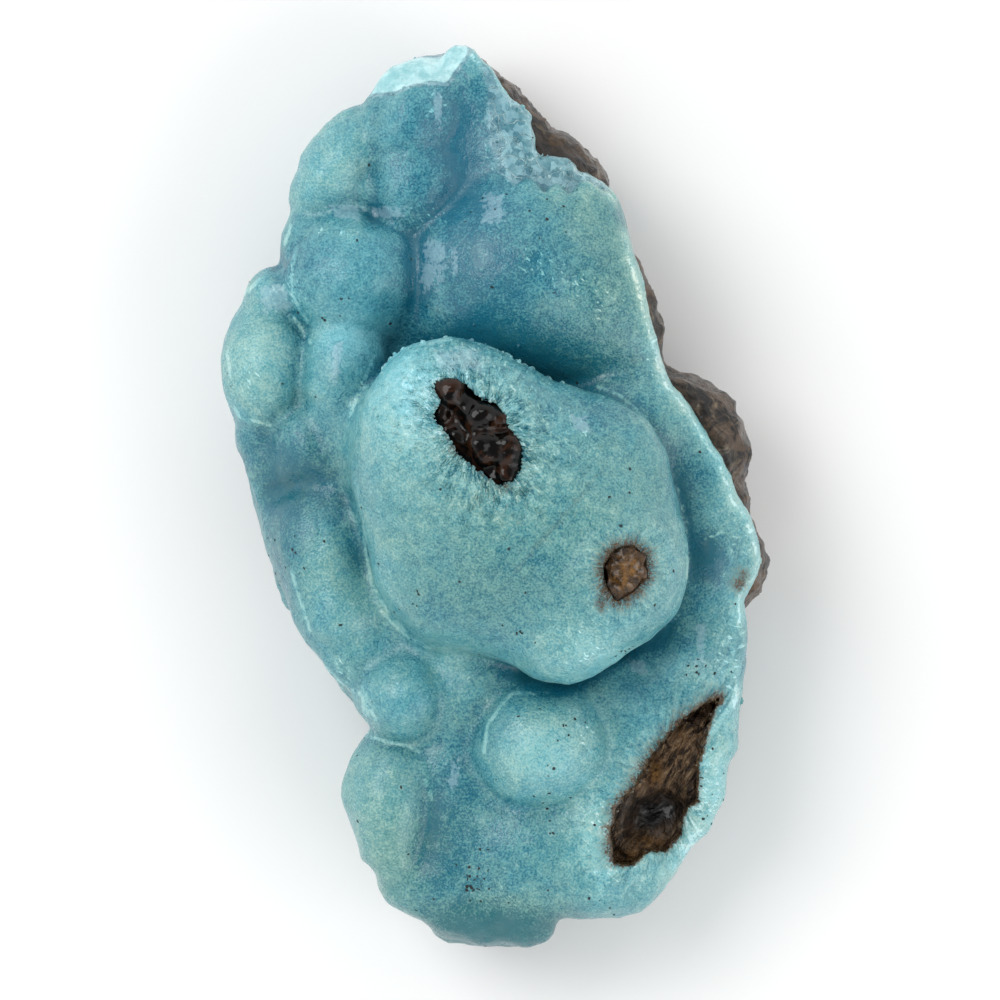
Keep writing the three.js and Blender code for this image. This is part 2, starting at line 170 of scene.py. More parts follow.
# The crust's ragged outline from above, clockwise from the pointed end.
CRUST_EDGE = (
    (-2.3, 27.4), (-1.3, 26.9), (-0.8, 26.3), (-0.1, 25.7), (0.9, 24.1), (2.4, 22.9), (2.4, 21.6),
    (2.6, 20.8), (4.7, 20.4), (5.2, 19.7), (6.6, 18.9), (7.4, 18.0), (7.9, 17.0), (8.0, 16.0), (8.2, 14.8),
    (8.9, 12.8), (9.3, 10.8), (9.7, 9.3), (10.0, 8.3), (10.4, 7.2), (10.7, 6.5), (11.9, 5.1), (13.0, 3.1),
    (14.1, 1.3), (14.5, -0.1), (15.3, -1.2), (15.9, -2.6), (16.3, -4.0), (15.9, -5.1), (15.0, -6.3),
    (15.1, -7.5), (15.3, -9.0), (15.3, -10.0), (14.9, -12.0), (14.85, -14.0), (14.7, -15.3), (14.0, -16.3),
    (13.8, -18.3), (13.0, -20.0), (12.2, -21.0), (11.5, -22.5), (10.5, -24.3), (9.8, -25.1), (8.8, -25.6),
    (6.0, -25.9), (4.0, -26.1), (3.8, -26.4), (3.5, -27.4), (2.2, -27.9), (-3.0, -27.7), (-3.9, -27.2),
    (-4.4, -26.1), (-5.5, -25.4), (-6.5, -24.8), (-7.0, -23.8), (-7.0, -22.8), (-7.8, -22.0), (-8.5, -20.0),
    (-9.2, -18.3), (-9.0, -17.2), (-8.5, -16.0), (-7.7, -14.0), (-8.6, -13.2), (-9.5, -12.2), (-10.3, -10.8),
    (-10.5, -10.2), (-11.5, -8.9), (-12.2, -7.8), (-12.8, -6.5), (-13.5, -4.0), (-14.0, -2.5), (-14.8, 0.0),
    (-15.5, 2.2), (-16.0, 3.3), (-16.1, 5.0), (-16.5, 7.0), (-16.7, 8.5), (-16.2, 10.6), (-15.6, 12.3),
    (-15.0, 13.2), (-13.3, 14.2), (-12.9, 15.0), (-12.4, 16.5), (-12.4, 17.8), (-11.4, 20.6), (-10.5, 21.7),
    (-9.6, 22.6), (-9.0, 23.3), (-7.9, 23.8), (-7.4, 24.5), (-7.0, 25.4), (-6.4, 26.4), (-5.2, 26.9),
    (-3.6, 27.2),
)
# Where brown stone stands out past the crust: its outline from above and the height of its top.
OUTCROPS = (
    (9.4, ((-1.1, 26.5), (0.0, 25.9), (1.0, 25.2), (1.8, 24.5), (2.3, 23.8), (2.8, 23.0), (3.5, 22.3),
           (4.5, 22.0), (5.2, 21.5), (6.0, 20.6), (6.6, 19.8), (6.8, 18.8), (4.0, 16.5), (0.0, 19.5),
           (-1.8, 24.5))),
    (8.2, ((8.2, 14.9), (9.1, 13.4), (9.8, 11.8), (10.4, 10.2), (10.3, 7.7), (8.0, 6.5), (5.5, 11.0),
           (6.5, 15.0))),
    (9.6, ((10.4, 7.4), (11.5, 7.4), (12.5, 7.1), (13.5, 6.5), (14.5, 5.5), (15.1, 4.3), (15.5, 3.0),
           (15.7, 2.0), (15.1, 0.8), (15.4, 0.0), (15.6, -1.0), (15.8, -2.0), (16.2, -3.0), (16.5, -4.0),
           (16.5, -5.0), (16.2, -5.9), (15.2, -6.6), (11.5, -7.5), (9.0, 0.0), (8.6, 6.0))),
)
# The long cavity near the lower end, from above.
CAVITY = (
    (14.0, -12.1), (13.2, -13.3), (12.9, -14.5), (12.4, -16.2), (12.3, -18.5), (11.5, -19.2), (11.4, -20.5),
    (10.5, -21.6), (9.4, -21.5), (8.5, -22.3), (7.3, -22.4), (7.2, -20.2), (7.6, -18.9), (8.8, -17.6),
    (9.4, -16.3), (10.6, -14.8), (11.6, -13.6),
)
BREAK_MARGIN = 0.8  # how far from an outcrop or the cavity the crust is all broken
BREAK_FADE = 3.0  # over how much more it comes to be as it grew
FOOT = 6.5  # the wall draws in below this height
GROWN_FOOT = 9.5  # and where it grew freely, it loses its extra width below this one
# Broken faces: how glassy the break is, a point on it, the way it looks, and its outline from above.
BREAKS = (
    (1.0, (-4.2, 24.8, 11.3), (-0.10, 0.50, 0.86),
     ((-7.6, 24.3), (-6.0, 24.4), (-4.9, 24.8), (-3.9, 25.0), (-2.8, 24.9), (-2.2, 25.8), (-1.4, 27.0),
      (-2.0, 28.5), (-8.0, 27.5))),
    (0.55, (2.2, 21.0, 11.5), (0.27, 0.24, 0.93),
     ((-1.4, 27.4), (-0.9, 26.4), (-0.3, 24.7), (-0.3, 22.5), (-0.2, 20.9), (0.4, 19.6), (1.3, 18.7),
      (2.2, 19.1), (3.1, 18.3), (3.9, 18.9), (4.7, 18.2), (5.6, 19.1), (6.6, 18.5), (9.0, 18.0), (8.0, 23.0),
      (2.0, 28.0))),
)


def soft_min(a, b, width):
    """The lower of two fields, rounded over a width where they meet."""
    h = np.maximum(width - np.abs(a - b), 0) / width
    return np.minimum(a, b) - h * h * (width * 0.25)


def soft_max(a, b, width):
    """The higher of two fields, rounded where they meet."""
    return -soft_min(-a, -b, width)


rows = [LOW[axis] + CELL * np.arange(round((HIGH[axis] - LOW[axis]) / CELL) + 1, dtype=np.float32)
        for axis in range(3)]
rows = [row[:len(row) - (len(row) + 1) % 2] for row in rows]  # odd counts, so that every second plane fits
at = np.ix_(*rows)
shape = tuple(len(row) for row in rows)
FAR = 4.0  # fields are only right nearer to the surface than this
MARGIN = 2.5  # how far round an ellipsoid its field is worked out
OFF_PATH = 9.0  # stands for any distance in plan that is too long to matter


def ellipsoids(lobes, reach, blend):
    """Distance to lobes that flow into each other over a width, or to whole ellipsoids where reach is 0."""
    field = np.full(shape, FAR, np.float32)
    for x, y, top, across, along, drop, turn in lobes:
        if reach:
            tall = drop / (1 - math.sqrt(1 - 1 / reach ** 2))
            across, along = across * reach, along * reach
        else:
            tall = drop
        cos, sin = math.cos(math.radians(turn)), math.sin(math.radians(turn))
        wide = max(across, along) + MARGIN
        spans = ((x - wide, x + wide), (y - wide, y + wide), (top - 2 * tall - MARGIN, top + MARGIN))
        cut = tuple(slice(*np.searchsorted(row, span)) for row, span in zip(rows, spans))
        dx, dy = at[0][cut[0]] - x, at[1][:, cut[1]] - y
        u = (cos * dx + sin * dy) / across
        v = (cos * dy - sin * dx) / along
        w = (at[2][:, :, cut[2]] - (top - tall)) / tall
        size = np.sqrt((u * u + v * v) + w * w)
        slope = np.sqrt(((u / across) ** 2 + (v / along) ** 2) + (w / tall) ** 2) + 1e-9
        distance = np.minimum(size * (size - 1) / slope, FAR)
        field[cut] = soft_min(field[cut], distance, blend)
    return field


def to_stretch(x, y, start, end):
    """Distance in plan to a straight stretch from one point to another."""
    (ax, ay), (bx, by) = start, end
    ex, ey = bx - ax, by - ay
    part = np.clip(((x - ax) * ex + (y - ay) * ey) / (ex * ex + ey * ey), 0, 1)
    return np.hypot(x - ax - part * ex, y - ay - part * ey)


def to_path(x, y, path):
    """Distance in plan to an open path."""
    nearest = np.full(np.broadcast(x, y).shape, OFF_PATH)
    for start, end in zip(path, path[1:]):
        nearest = np.minimum(nearest, to_stretch(x, y, start, end))
    return nearest


def to_outline(outline):
    """Signed distance in plan to a closed outline, negative inside, on the lattice's x and y."""
    x, y = at[0][:, :, 0], at[1][:, :, 0]
    nearest = np.inf
    inside = False
    for (ax, ay), (bx, by) in zip(outline, outline[1:] + outline[:1]):
        nearest = np.minimum(nearest, to_stretch(x, y, (ax, ay), (bx, by)))
        crosses = ((ay > y) != (by > y)) & (x < (bx - ax) * (y - ay) / (by - ay + 1e-12) + ax)
        inside = inside ^ crosses
    return np.where(inside, -nearest, nearest).astype(np.float32)[:, :, None]


def ragged(scale, seed):
    """Smooth irregular values of about -1 to 1 over the plan, in waves of about a given length."""
    draw = np.random.default_rng(seed)
    total = 0
    for octave in range(3):
        for _ in range(4):
            angle, phase = draw.uniform(0, 2 * math.pi, 2)
            wave = 2 * math.pi / scale * 1.9 ** octave * draw.uniform(0.8, 1.2)
            along = at[0] * math.cos(angle) + at[1] * math.sin(angle)
            total = total + np.sin(wave * along + phase) / (octave + 2)
    return (total / 3).astype(np.float32)


edge = to_outline(CRUST_EDGE) + 0.12 * ragged(2.2, 3)
outcrop_edges = [to_outline(outline) for _, outline in OUTCROPS]
cavity_outline = to_outline(CAVITY) + 0.16 * ragged(1.2, 13) + 0.09 * ragged(0.6, 14)
near_break = np.minimum.reduce(outcrop_edges + [cavity_outline])
natural = np.clip((near_break - BREAK_MARGIN) / BREAK_FADE, 0, 1)  # 0 where the crust broke, 1 where it grew
# The wall stands a little wide of the outline, for rounding the lobes off into it takes some of it away.
# They are rounded off least where the crust broke sharply.
draw_in = 0.22 * np.maximum(FOOT - at[2], 0) ** 1.25
low = np.clip((GROWN_FOOT - at[2]) / 2.5, 0, 1)
wall = edge - 0.22 - 0.5 * natural + draw_in + 0.55 * natural * low
round_off = 0.9 + 2.3 * natural


def flank_lobes(level, spacing, size, inset, seed):
    """A row of lobes round the flank at a level, set in from the outline, as full ellipsoids."""
    draw = np.random.default_rng(seed)
    row = []
    left = 0.0
    for (ax, ay), (bx, by) in zip(CRUST_EDGE, CRUST_EDGE[1:] + CRUST_EDGE[:1]):
        span = math.hypot(bx - ax, by - ay)
        while left < span:
            across, along = size * draw.uniform(0.8, 1.2, 2)
            inwards = across + inset + draw.uniform(-0.1, 0.25)
            x = ax + (bx - ax) * left / span + (by - ay) / span * inwards
            y = ay + (by - ay) * left / span - (bx - ax) / span * inwards
            middle = level + draw.uniform(-0.7, 0.7)
            turn = math.degrees(math.atan2(ay - by, bx - ax))
            row.append((x, y, middle + along, across, along, along, turn))
            left += spacing * draw.uniform(0.8, 1.2)
        left -= span
    return row


outer = ellipsoids(SWELLS, 0, 3.0)
outer = soft_min(outer, soft_max(wall, at[2] - SHOULDER, 2.0), 1.5)
for lobes, blend, joint in LOBE_GROUPS:
    outer = soft_min(outer, ellipsoids(lobes, LOBE_REACH, blend), joint)
for level, spacing, size, inset, seed in FLANK_ROWS:
    row = ellipsoids(flank_lobes(level, spacing, size, inset, seed), 0, 0.6)
    outer = soft_min(outer, row + 2.0 * (1 - natural), 0.6)
for deep, path in FURROWS:
    outer = outer + deep * np.exp(-(to_path(at[0], at[1], path) / FURROW_WIDTH) ** 2)
for _, at_point, facing, outline in BREAKS:
    plane = sum((at[axis] - at_point[axis]) * facing[axis] for axis in range(3))
    outer = soft_max(outer, -soft_max(-plane, to_outline(outline), 0.5), 0.3)
outer = soft_max(outer, wall, round_off)
# The knob stands clear on the right and at the top, and flows into the crust on the left.
knob_joint = 0.35
for x, y, reach, width in KNOB_BLENDS:
    knob_joint = knob_joint + width * np.exp(-((at[0] - x) ** 2 + (at[1] - y) ** 2) / reach ** 2)
knob_edge = to_outline(KNOB_EDGE) + 0.1 * ragged(2.5, 8)
undercut = 0.16 * np.maximum(KNOB_TOP - 5.5 - at[2], 0)
crisp = 1 / (1 + np.exp(-(0.6 * at[0] + at[1] - 3.5) / 1.5))  # 1 at the upper right, where the rim is sharp
knob = ellipsoids(KNOB_LOBES, KNOB_REACH, 2.0)
knob = soft_max(knob, knob_edge - 0.4 + 0.3 * crisp + undercut, 2.6 - 1.9 * crisp)
outer = soft_min(outer, knob, knob_joint)

# ---------------------------------------------------------------------------------------------------------
# The stone: brown limonite that the crust grew on. It fills everything deeper than the crust's thickness,
# stands out past the crust at the right, and shows in the knob's holes and the long cavity.

CRUST_THICKNESS = 3.2
FIT_GAP = 0.08  # between the crust and the stone
# The knob's two holes from above, and the height below which the crust closes them.
HOLE_FLOOR = 14.0
HEAD_HOLE = (
    (-2.9, 6.9), (-1.7, 6.7), (-0.9, 5.9), (0.2, 5.4), (0.9, 4.2), (1.7, 2.9), (1.8, 1.6), (1.2, 0.8),
    (0.2, 0.5), (-0.9, 1.4), (-2.2, 2.4), (-2.9, 3.7), (-3.7, 4.7), (-3.2, 5.6), (-3.6, 6.4),
)
TAIL_HOLE = (
    (7.2, -3.3), (8.3, -3.0), (9.1, -3.6), (9.2, -4.8), (8.5, -5.7), (7.5, -6.4), (6.8, -5.6), (6.6, -4.3),
)
# The bed of stone under the long cavity, and the pocket sunk into it, as whole ellipsoids like the swells.
CAVITY_BED = ((10.3, -17.2, 10.8, 3.9, 9.0, 5.0, -32),)
POCKET = ((10.0, -19.2, 13.6, 2.1, 1.0, 2.9, 16), (8.7, -20.3, 12.8, 0.8, 1.1, 2.2, -30))
CAVITY_FLOOR = 5.0
# Where the crust has broken away from the stone near the pointed end, from above.
TOP_BITE = (
    (2.3, 22.7), (2.6, 21.6), (2.5, 20.9), (3.0, 20.5), (4.2, 20.6), (5.0, 20.2), (5.1, 19.6), (5.5, 19.7),
    (5.5, 20.7), (6.6, 20.7), (7.6, 21.5), (5.0, 24.5), (3.0, 24.5),
)
# Glossy round lumps in the long hole: x, y, height of the top and radius. They stand on a level bed, and
# keep a little way off the hole's wall.
LUMPS_BED = 19.6
LUMPS_INSET = 0.12
HEAD_LUMPS = (
    (-2.4, 6.1, 20.3, 1.2), (-3.1, 4.9, 20.0, 0.8), (-0.9, 4.9, 20.5, 1.5), (-2.2, 3.5, 20.0, 0.9),
    (-0.5, 3.0, 20.4, 1.3), (0.9, 2.7, 20.4, 1.3), (1.0, 1.3, 20.1, 0.9), (-1.5, 2.2, 19.9, 0.7),
    (0.3, 4.5, 20.1, 0.6),
)


def back_height():
    """Height of the broken back: flat in the middle, where the specimen rests."""
    from_middle = (at[0] / 8.6) ** 2 + ((at[1] + 0.5) / 17.5) ** 2
    rise = 3.6 * (1 - np.exp(-0.9 * np.maximum(from_middle - 0.35, 0)))
    lumps = 0.5 * np.cos(at[0] / 1.9 + 0.6) * np.cos(at[1] / 2.6 + 0.4) * np.minimum(from_middle, 1)
    return rise - 1.4 + lumps


def to_grid(values, step):
    """A volume grid holding a field that was worked out on a lattice."""
    grid = openvdb.FloatGrid(background=5.0)
    grid.copyFromArray(np.ascontiguousarray(values, dtype=np.float32))
    grid.transform = openvdb.createLinearTransform(voxelSize=step)
    return grid


def doubled(values):
    """The field on a lattice of half the step, filled in along straight lines."""
    for axis in range(3):
        first = np.take(values, range(values.shape[axis] - 1), axis)
        second = np.take(values, range(1, values.shape[axis]), axis)
        size = list(values.shape)
        size[axis] = 2 * size[axis] - 1
        filled = np.empty(size, np.float32)
        cut = [slice(None)] * 3
        cut[axis] = slice(0, None, 2)
        filled[tuple(cut)] = values
        cut[axis] = slice(1, None, 2)
        filled[tuple(cut)] = (first + second) / 2
        values = filled
    return values


coarse = outer[::2, ::2, ::2]
points, quads = to_grid(coarse, 2 * CELL).convertToQuads(isovalue=0.0)
outer_form = openvdb.FloatGrid.createLevelSetFromPolygons(
    points, quads=quads, transform=openvdb.createLinearTransform(voxelSize=2 * CELL), halfWidth=12)
depth = np.zeros(coarse.shape, np.float32)
outer_form.copyToArray(depth)
depth = doubled(depth)  # real distance to the outer form

head_outline = to_outline(HEAD_HOLE) + 0.07 * ragged(1.1, 11)
tail_outline = to_outline(TAIL_HOLE) + 0.09 * ragged(0.9, 12)
back = back_height()

core = depth + CRUST_THICKNESS * np.clip((at[2] + 1.5) / 8, 0.35, 1)  # the crust thins towards its foot
core = soft_min(core, soft_max(ellipsoids(CAVITY_BED, 0, 1.0), depth + 0.8, 0.5), 1.5)
lean = 0.25 * np.maximum(5.5 - at[2], 0)
unevenness = 0.12 * ragged(1.6, 21)
for (top, _), outline in zip(OUTCROPS, outcrop_edges):
    outcrop = soft_max(outline - 0.14 + unevenness + lean, at[2] - top, 2.4)
    core = soft_min(core, outcrop, 1.0)
core = soft_max(core, -ellipsoids(POCKET, 0, 0.6), 0.6)  # the crust fits round this much of the stone
head_fill = np.minimum(soft_max(head_outline - LUMPS_INSET, at[2] - LUMPS_BED, 0.3), FAR)
for x, y, top, radius in HEAD_LUMPS:
    lump = np.sqrt((at[0] - x) ** 2 + (at[1] - y) ** 2 + (at[2] - (top - radius)) ** 2) - radius
    head_fill = soft_min(head_fill, lump, 0.12)
head_fill = np.maximum(head_fill, head_outline - LUMPS_INSET)
tail_top = 19.45 + 0.4 * ragged(1.4, 22) + 0.2 * ragged(0.7, 23)
tail_fill = soft_max(tail_outline - 0.1, at[2] - tail_top, 0.2)
stone_field = soft_min(core, np.minimum(head_fill, tail_fill), 0.2)
stone_field = np.maximum(soft_max(stone_field, back - at[2], 0.3), -at[2])

crust_field = np.maximum(outer, FIT_GAP - core)
top_bite = to_outline(TOP_BITE) + 0.15 * ragged(0.9, 13)
for outline, floor in (
        (head_outline, HOLE_FLOOR), (tail_outline, HOLE_FLOOR), (cavity_outline, CAVITY_FLOOR),
        (top_bite, CAVITY_FLOOR)):
    crust_field = soft_max(crust_field, -np.maximum(outline, floor - at[2]), 0.25)
lower_edge = 2.4 + 1.7 * ragged(9.0, 31) + 0.5 * ragged(2.0, 32)
crust_field = soft_max(crust_field, np.maximum(lower_edge, back + 0.3) - at[2], 0.2)
crust_field = np.maximum(crust_field, 0.2 - at[2])

MM = 0.001
MIDDLE = (-0.1, 0.0)  # where the specimen's origin lies on the lattice, in plan


def mesh_of(field, name):
    """A mesh, in metres, of where a field on the fine lattice is nought: its largest part alone."""
    points, quads = to_grid(field, CELL).convertToQuads(isovalue=0.0)
    part = np.arange(len(points))
    joined = False
    while not joined:
        lowest = part.copy()
        np.minimum.at(lowest, quads.ravel(), np.repeat(part[quads].min(axis=1), 4))
        lowest = lowest[lowest]
        joined = np.array_equal(lowest, part)
        part = lowest
    kept = part == np.bincount(part).argmax()
    quads = (np.cumsum(kept) - 1)[quads[kept[quads[:, 0]]]]
    points = (points[kept] + np.array(LOW) - np.array((*MIDDLE, 0))) * MM
    mesh = bpy.data.meshes.new(name)
    mesh.vertices.add(len(points))
    mesh.vertices.foreach_set("co", points.astype(np.float32).ravel())
    mesh.loops.add(4 * len(quads))
    mesh.loops.foreach_set("vertex_index", quads.astype(np.int32).ravel())
    mesh.polygons.add(len(quads))
    mesh.polygons.foreach_set("loop_start", np.arange(0, 4 * len(quads), 4, dtype=np.int32))
    mesh.polygons.foreach_set("loop_total", np.full(len(quads), 4, dtype=np.int32))
    mesh.update(calc_edges=True)
    mesh.validate()
    mesh.polygons.foreach_set("use_smooth", np.ones(len(mesh.polygons), dtype=bool))
    return mesh


def new_piece(name, mesh):
    """An object at the origin that holds a mesh."""
    piece = bpy.data.objects.new(name, mesh)
    bpy.context.scene.collection.objects.link(piece)
    return piece


def spots_of(mesh):
    """Where a mesh's vertices lie on the lattice, in millimetres, and the way that each faces."""
    places = np.empty(3 * len(mesh.vertices), np.float32)
    mesh.vertices.foreach_get("co", places)
    facing = np.empty_like(places)
    mesh.vertices.foreach_get("normal", facing)
    return places.reshape(-1, 3) / MM + (*MIDDLE, 0), facing.reshape(-1, 3)


def sampled(field, spots):
    """A field's values at spots in millimetres, filled in along straight lines."""
    field = np.broadcast_to(field, shape)
    steps = (spots - LOW) / CELL
    first = np.clip(steps.astype(int), 0, np.array(shape) - 2)
    part = np.clip(steps - first, 0, 1)
    total = 0
    for corner in np.ndindex(2, 2, 2):
        share = np.prod(np.where(corner, part, 1 - part), axis=1)
        total = total + share * field[tuple((first + corner).T)]
    return total


def keep_values(mesh, **values):
    """Keeps a number per vertex on a mesh, under each name."""
    for name, numbers in values.items():
        layer = mesh.attributes.new(name, "FLOAT", "POINT")
        layer.data.foreach_set("value", np.asarray(numbers, np.float32))


def places_sum(spots, places):
    """A sum of soft round places, each an x, y, reach across, reach along and amount, at spots."""
    total = np.zeros(len(spots))
    for x, y, across, along, amount in places:
        total += amount * np.exp(-((spots[:, 0] - x) / across) ** 2 - ((spots[:, 1] - y) / along) ** 2)
    return total


class Wire:
    """An output socket in a node tree. Arithmetic on wires and numbers adds the nodes that work it out."""

    def __init__(self, tree, socket=None):
        self.tree = tree
        self.socket = socket

    def node(self, kind, settings=(), inputs=(), output=0):
        """An output of a new node, given its settings and then its inputs, each a value or a wire."""
        node = self.tree.nodes.new(kind)
        for name, value in dict(settings).items():
            setattr(node, name, value)
        for key, value in dict(inputs).items():
            if isinstance(value, Wire):
                self.tree.links.new(value.socket, node.inputs[key])
            else:
                node.inputs[key].default_value = value
        return Wire(self.tree, node.outputs[output])

    def math(self, operation, first, second=0.0):
        """What a sum on one or two values or wires comes to."""
        return self.node("ShaderNodeMath", {"operation": operation}, {0: first, 1: second})

    def __add__(self, other):
        return self.math("ADD", self, other)

    def __radd__(self, other):
        return self.math("ADD", other, self)

    def __sub__(self, other):
        return self.math("SUBTRACT", self, other)

    def __rsub__(self, other):
        return self.math("SUBTRACT", other, self)

    def __mul__(self, other):
        return self.math("MULTIPLY", self, other)

    def __rmul__(self, other):
        return self.math("MULTIPLY", other, self)

    def eased(self, start, end):
        """0 up to one value, 1 from another on, and a soft step in between."""
        return self.node("ShaderNodeMapRange", {"interpolation_type": "SMOOTHSTEP"},
                         {0: self, 1: start, 2: end})

    def vector_math(self, operation, second, output="Vector"):
        """This wire's vector worked out with another one."""
        return self.node("ShaderNodeVectorMath", {"operation": operation}, {0: self, 1: second}, output)

    def scaled(self, amount):
        """This wire's vector times a number."""
        return self.node("ShaderNodeVectorMath", {"operation": "SCALE"}, {0: self, "Scale": amount})

    def along(self, direction):
        """How far this wire's place lies along a direction, in steps of the direction's length."""
        return self.vector_math("DOT_PRODUCT", direction, "Value")

    def beside(self, other):
        """A place in a plane, from two wires with its distances along and across."""
        return self.node("ShaderNodeCombineXYZ", (), {0: self, 1: other})

    def noise(self, size, detail=2.0, roughness=0.5, distortion=0.0, seed=0.0):
        """Noise of about 0 to 1 over this wire's place, with lumps of a size in the place's units."""
        moved = self.vector_math("ADD", (17 * seed, 0, 0))
        return moved.node("ShaderNodeTexNoise", (), {
            "Vector": moved, "Scale": 1 / size, "Detail": detail, "Roughness": roughness,
            "Distortion": distortion})

    def cells(self, size, feature="F1"):
        """Distance in a pattern of cells of a size over this wire's place."""
        return self.node("ShaderNodeTexVoronoi", {"feature": feature}, {"Vector": self, "Scale": 1 / size})

    def facets(self, count):
        """A shade of grey for each cell over this wire's place, with so many cells to a unit."""
        return self.node("ShaderNodeTexVoronoi", (), {"Vector": self, "Scale": count}, "Color") + 0

    def kept(self, name, output="Fac"):
        """A number kept per vertex, or a vector where the output is that one."""
        return self.node("ShaderNodeAttribute", {"attribute_name": name}, output=output)

    def tinted(self, factor, first, second, blend="MIX"):
        """One colour mixed into another by a factor."""
        return self.node("ShaderNodeMix", {"data_type": "RGBA", "blend_type": blend},
                         {0: factor, 6: first, 7: second}, 2)

    def to(self, socket):
        """Joins this wire to an input."""
        self.tree.links.new(self.socket, socket)


def colour(red, green, blue):
    """A screen colour of 0 to 255 as the linear colour that a shader takes."""
    return (*(((value / 255 + 0.055) / 1.055) ** 2.4 for value in (red, green, blue)), 1)


def new_tree(name, **inputs):
    """A node tree for a surface, given each input's name and kind, and the wires that its inputs give."""
    tree = bpy.data.node_groups.new(name, "GeometryNodeTree")
    for title, kind in (("Geometry", "Geometry"), *inputs.items(), ("Material", "Material")):
        title = title.replace("_", " ").capitalize()
        tree.interface.new_socket(title, in_out="INPUT", socket_type="NodeSocket" + kind)
    tree.interface.new_socket("Geometry", in_out="OUTPUT", socket_type="NodeSocketGeometry")
    return tree, {socket.name: Wire(tree, socket) for socket in tree.nodes.new("NodeGroupInput").outputs}


def end_tree(tree, shape, look):
    """Ends a node tree with a shape made plain and covered with a material."""
    plain = shape.node("GeometryNodeRealizeInstances", (), {"Geometry": shape})
    done = plain.node("GeometryNodeSetMaterial", (), {"Geometry": plain, "Material": look})
    done.to(tree.nodes.new("NodeGroupOutput").inputs["Geometry"])


def weathering_tree():
    """A node tree that swells and pits a surface along the way it faces, with lumps, bumps and grit."""
    tree, given = new_tree(
        "weathering", lump_size="Float", lump_height="Float", bump_size="Float", bump_height="Float",
        grit_size="Float", grit_height="Float", seed="Float")
    start = Wire(tree)
    place = start.node("GeometryNodeInputPosition").scaled(1 / MM)
    rough = start.node("GeometryNodeInputNamedAttribute", {"data_type": "FLOAT"}, {"Name": "rough"})
    free = start.node("GeometryNodeInputNamedAttribute", {"data_type": "FLOAT"}, {"Name": "free"})
    push = 0
    for name, share, detail in (("Lump", 1 - 0.6 * rough, 1.0), ("Bump", 0.3 + 0.7 * rough, 2.0),
                                ("Grit", rough, 2.0)):
        spread = place.node("ShaderNodeTexNoise", {"noise_dimensions": "4D"}, {
            "Vector": place, "W": given["Seed"], "Scale": place.math("DIVIDE", 1.0, given[name + " size"]),
            "Detail": detail, "Roughness": 0.6})
        push = push + (spread - 0.5) * share * given[name + " height"]
    offset = start.node("GeometryNodeInputNormal").scaled(push * free * MM)
    moved = start.node("GeometryNodeSetPosition", (), {"Geometry": given["Geometry"], "Offset": offset})
    end_tree(tree, moved, given["Material"])
    return tree


def settle(piece, tree, **values):
    """Works out a node tree on a piece with the given inputs, and keeps the plain mesh that it makes."""
    modifier = piece.modifiers.new(tree.name, "NODES")
    modifier.node_group = tree
    for item in tree.interface.items_tree:
        name = item.name.lower().replace(" ", "_")
        if item.in_out == "INPUT" and name in values:
            modifier[item.identifier] = values[name]
    depsgraph = bpy.context.evaluated_depsgraph_get()
    mesh = bpy.data.meshes.new_from_object(
        piece.evaluated_get(depsgraph), preserve_all_data_layers=True, depsgraph=depsgraph)
    piece.modifiers.clear()
    piece.data = mesh


def shader_of(name):
    """A new material, its shader node, and a wire with the place on the piece in millimetres."""
    material = bpy.data.materials.new(name)
    material.use_nodes = True
    place = Wire(material.node_tree).node("ShaderNodeTexCoord", output="Object").scaled(1 / MM)
    return material, material.node_tree.nodes["Principled BSDF"], place


def raise_skin(shader, height):
    """Lets a shader's surface stand out by a height in millimetres."""
    bump = height.node("ShaderNodeBump", (), {"Strength": 1.0, "Distance": MM, "Height": height}, "Normal")
    bump.to(shader.inputs["Normal"])


HOLE_LEVEL = 15  # the holes' walls are higher than this
# Soft places in the stone: x, y, reach across, reach along and amount. Where it is ochre:
OCHRES = (
    (9.9, -16.9, 0.45, 0.9, 1.2), (9.9, -21.2, 1.5, 0.6, 0.7), (8.3, -22.0, 0.9, 0.5, 0.7),
    (11.3, -14.7, 0.5, 0.7, 0.6), (3.6, 21.4, 0.8, 0.5, 0.9), (15.4, -5.6, 0.9, 0.9, 0.8),
)
# where it is nearly black: the stone's own black crust, and in the long cavity painted shade as well, in its
# pocket and on its right wall:
DARKS = (
    (10.0, -19.4, 2.2, 1.2, 1.1), (12.0, -17.6, 0.7, 1.4, 0.5), (7.7, -20.4, 0.6, 1.0, 0.5),
    (3.8, 21.1, 1.4, 0.5, 0.8), (5.2, 20.2, 0.4, 0.8, 0.9), (12.0, 5.9, 0.8, 0.7, 0.8),
    (13.4, 3.3, 1.0, 0.3, 0.7), (2.9, 21.4, 0.6, 0.8, 0.7), (12.2, 3.0, 0.6, 1.2, 0.4),
)
# and where the cavity's pocket is:
POCKET_SHADE = ((9.9, -19.4, 1.9, 1.0, 1.5),)

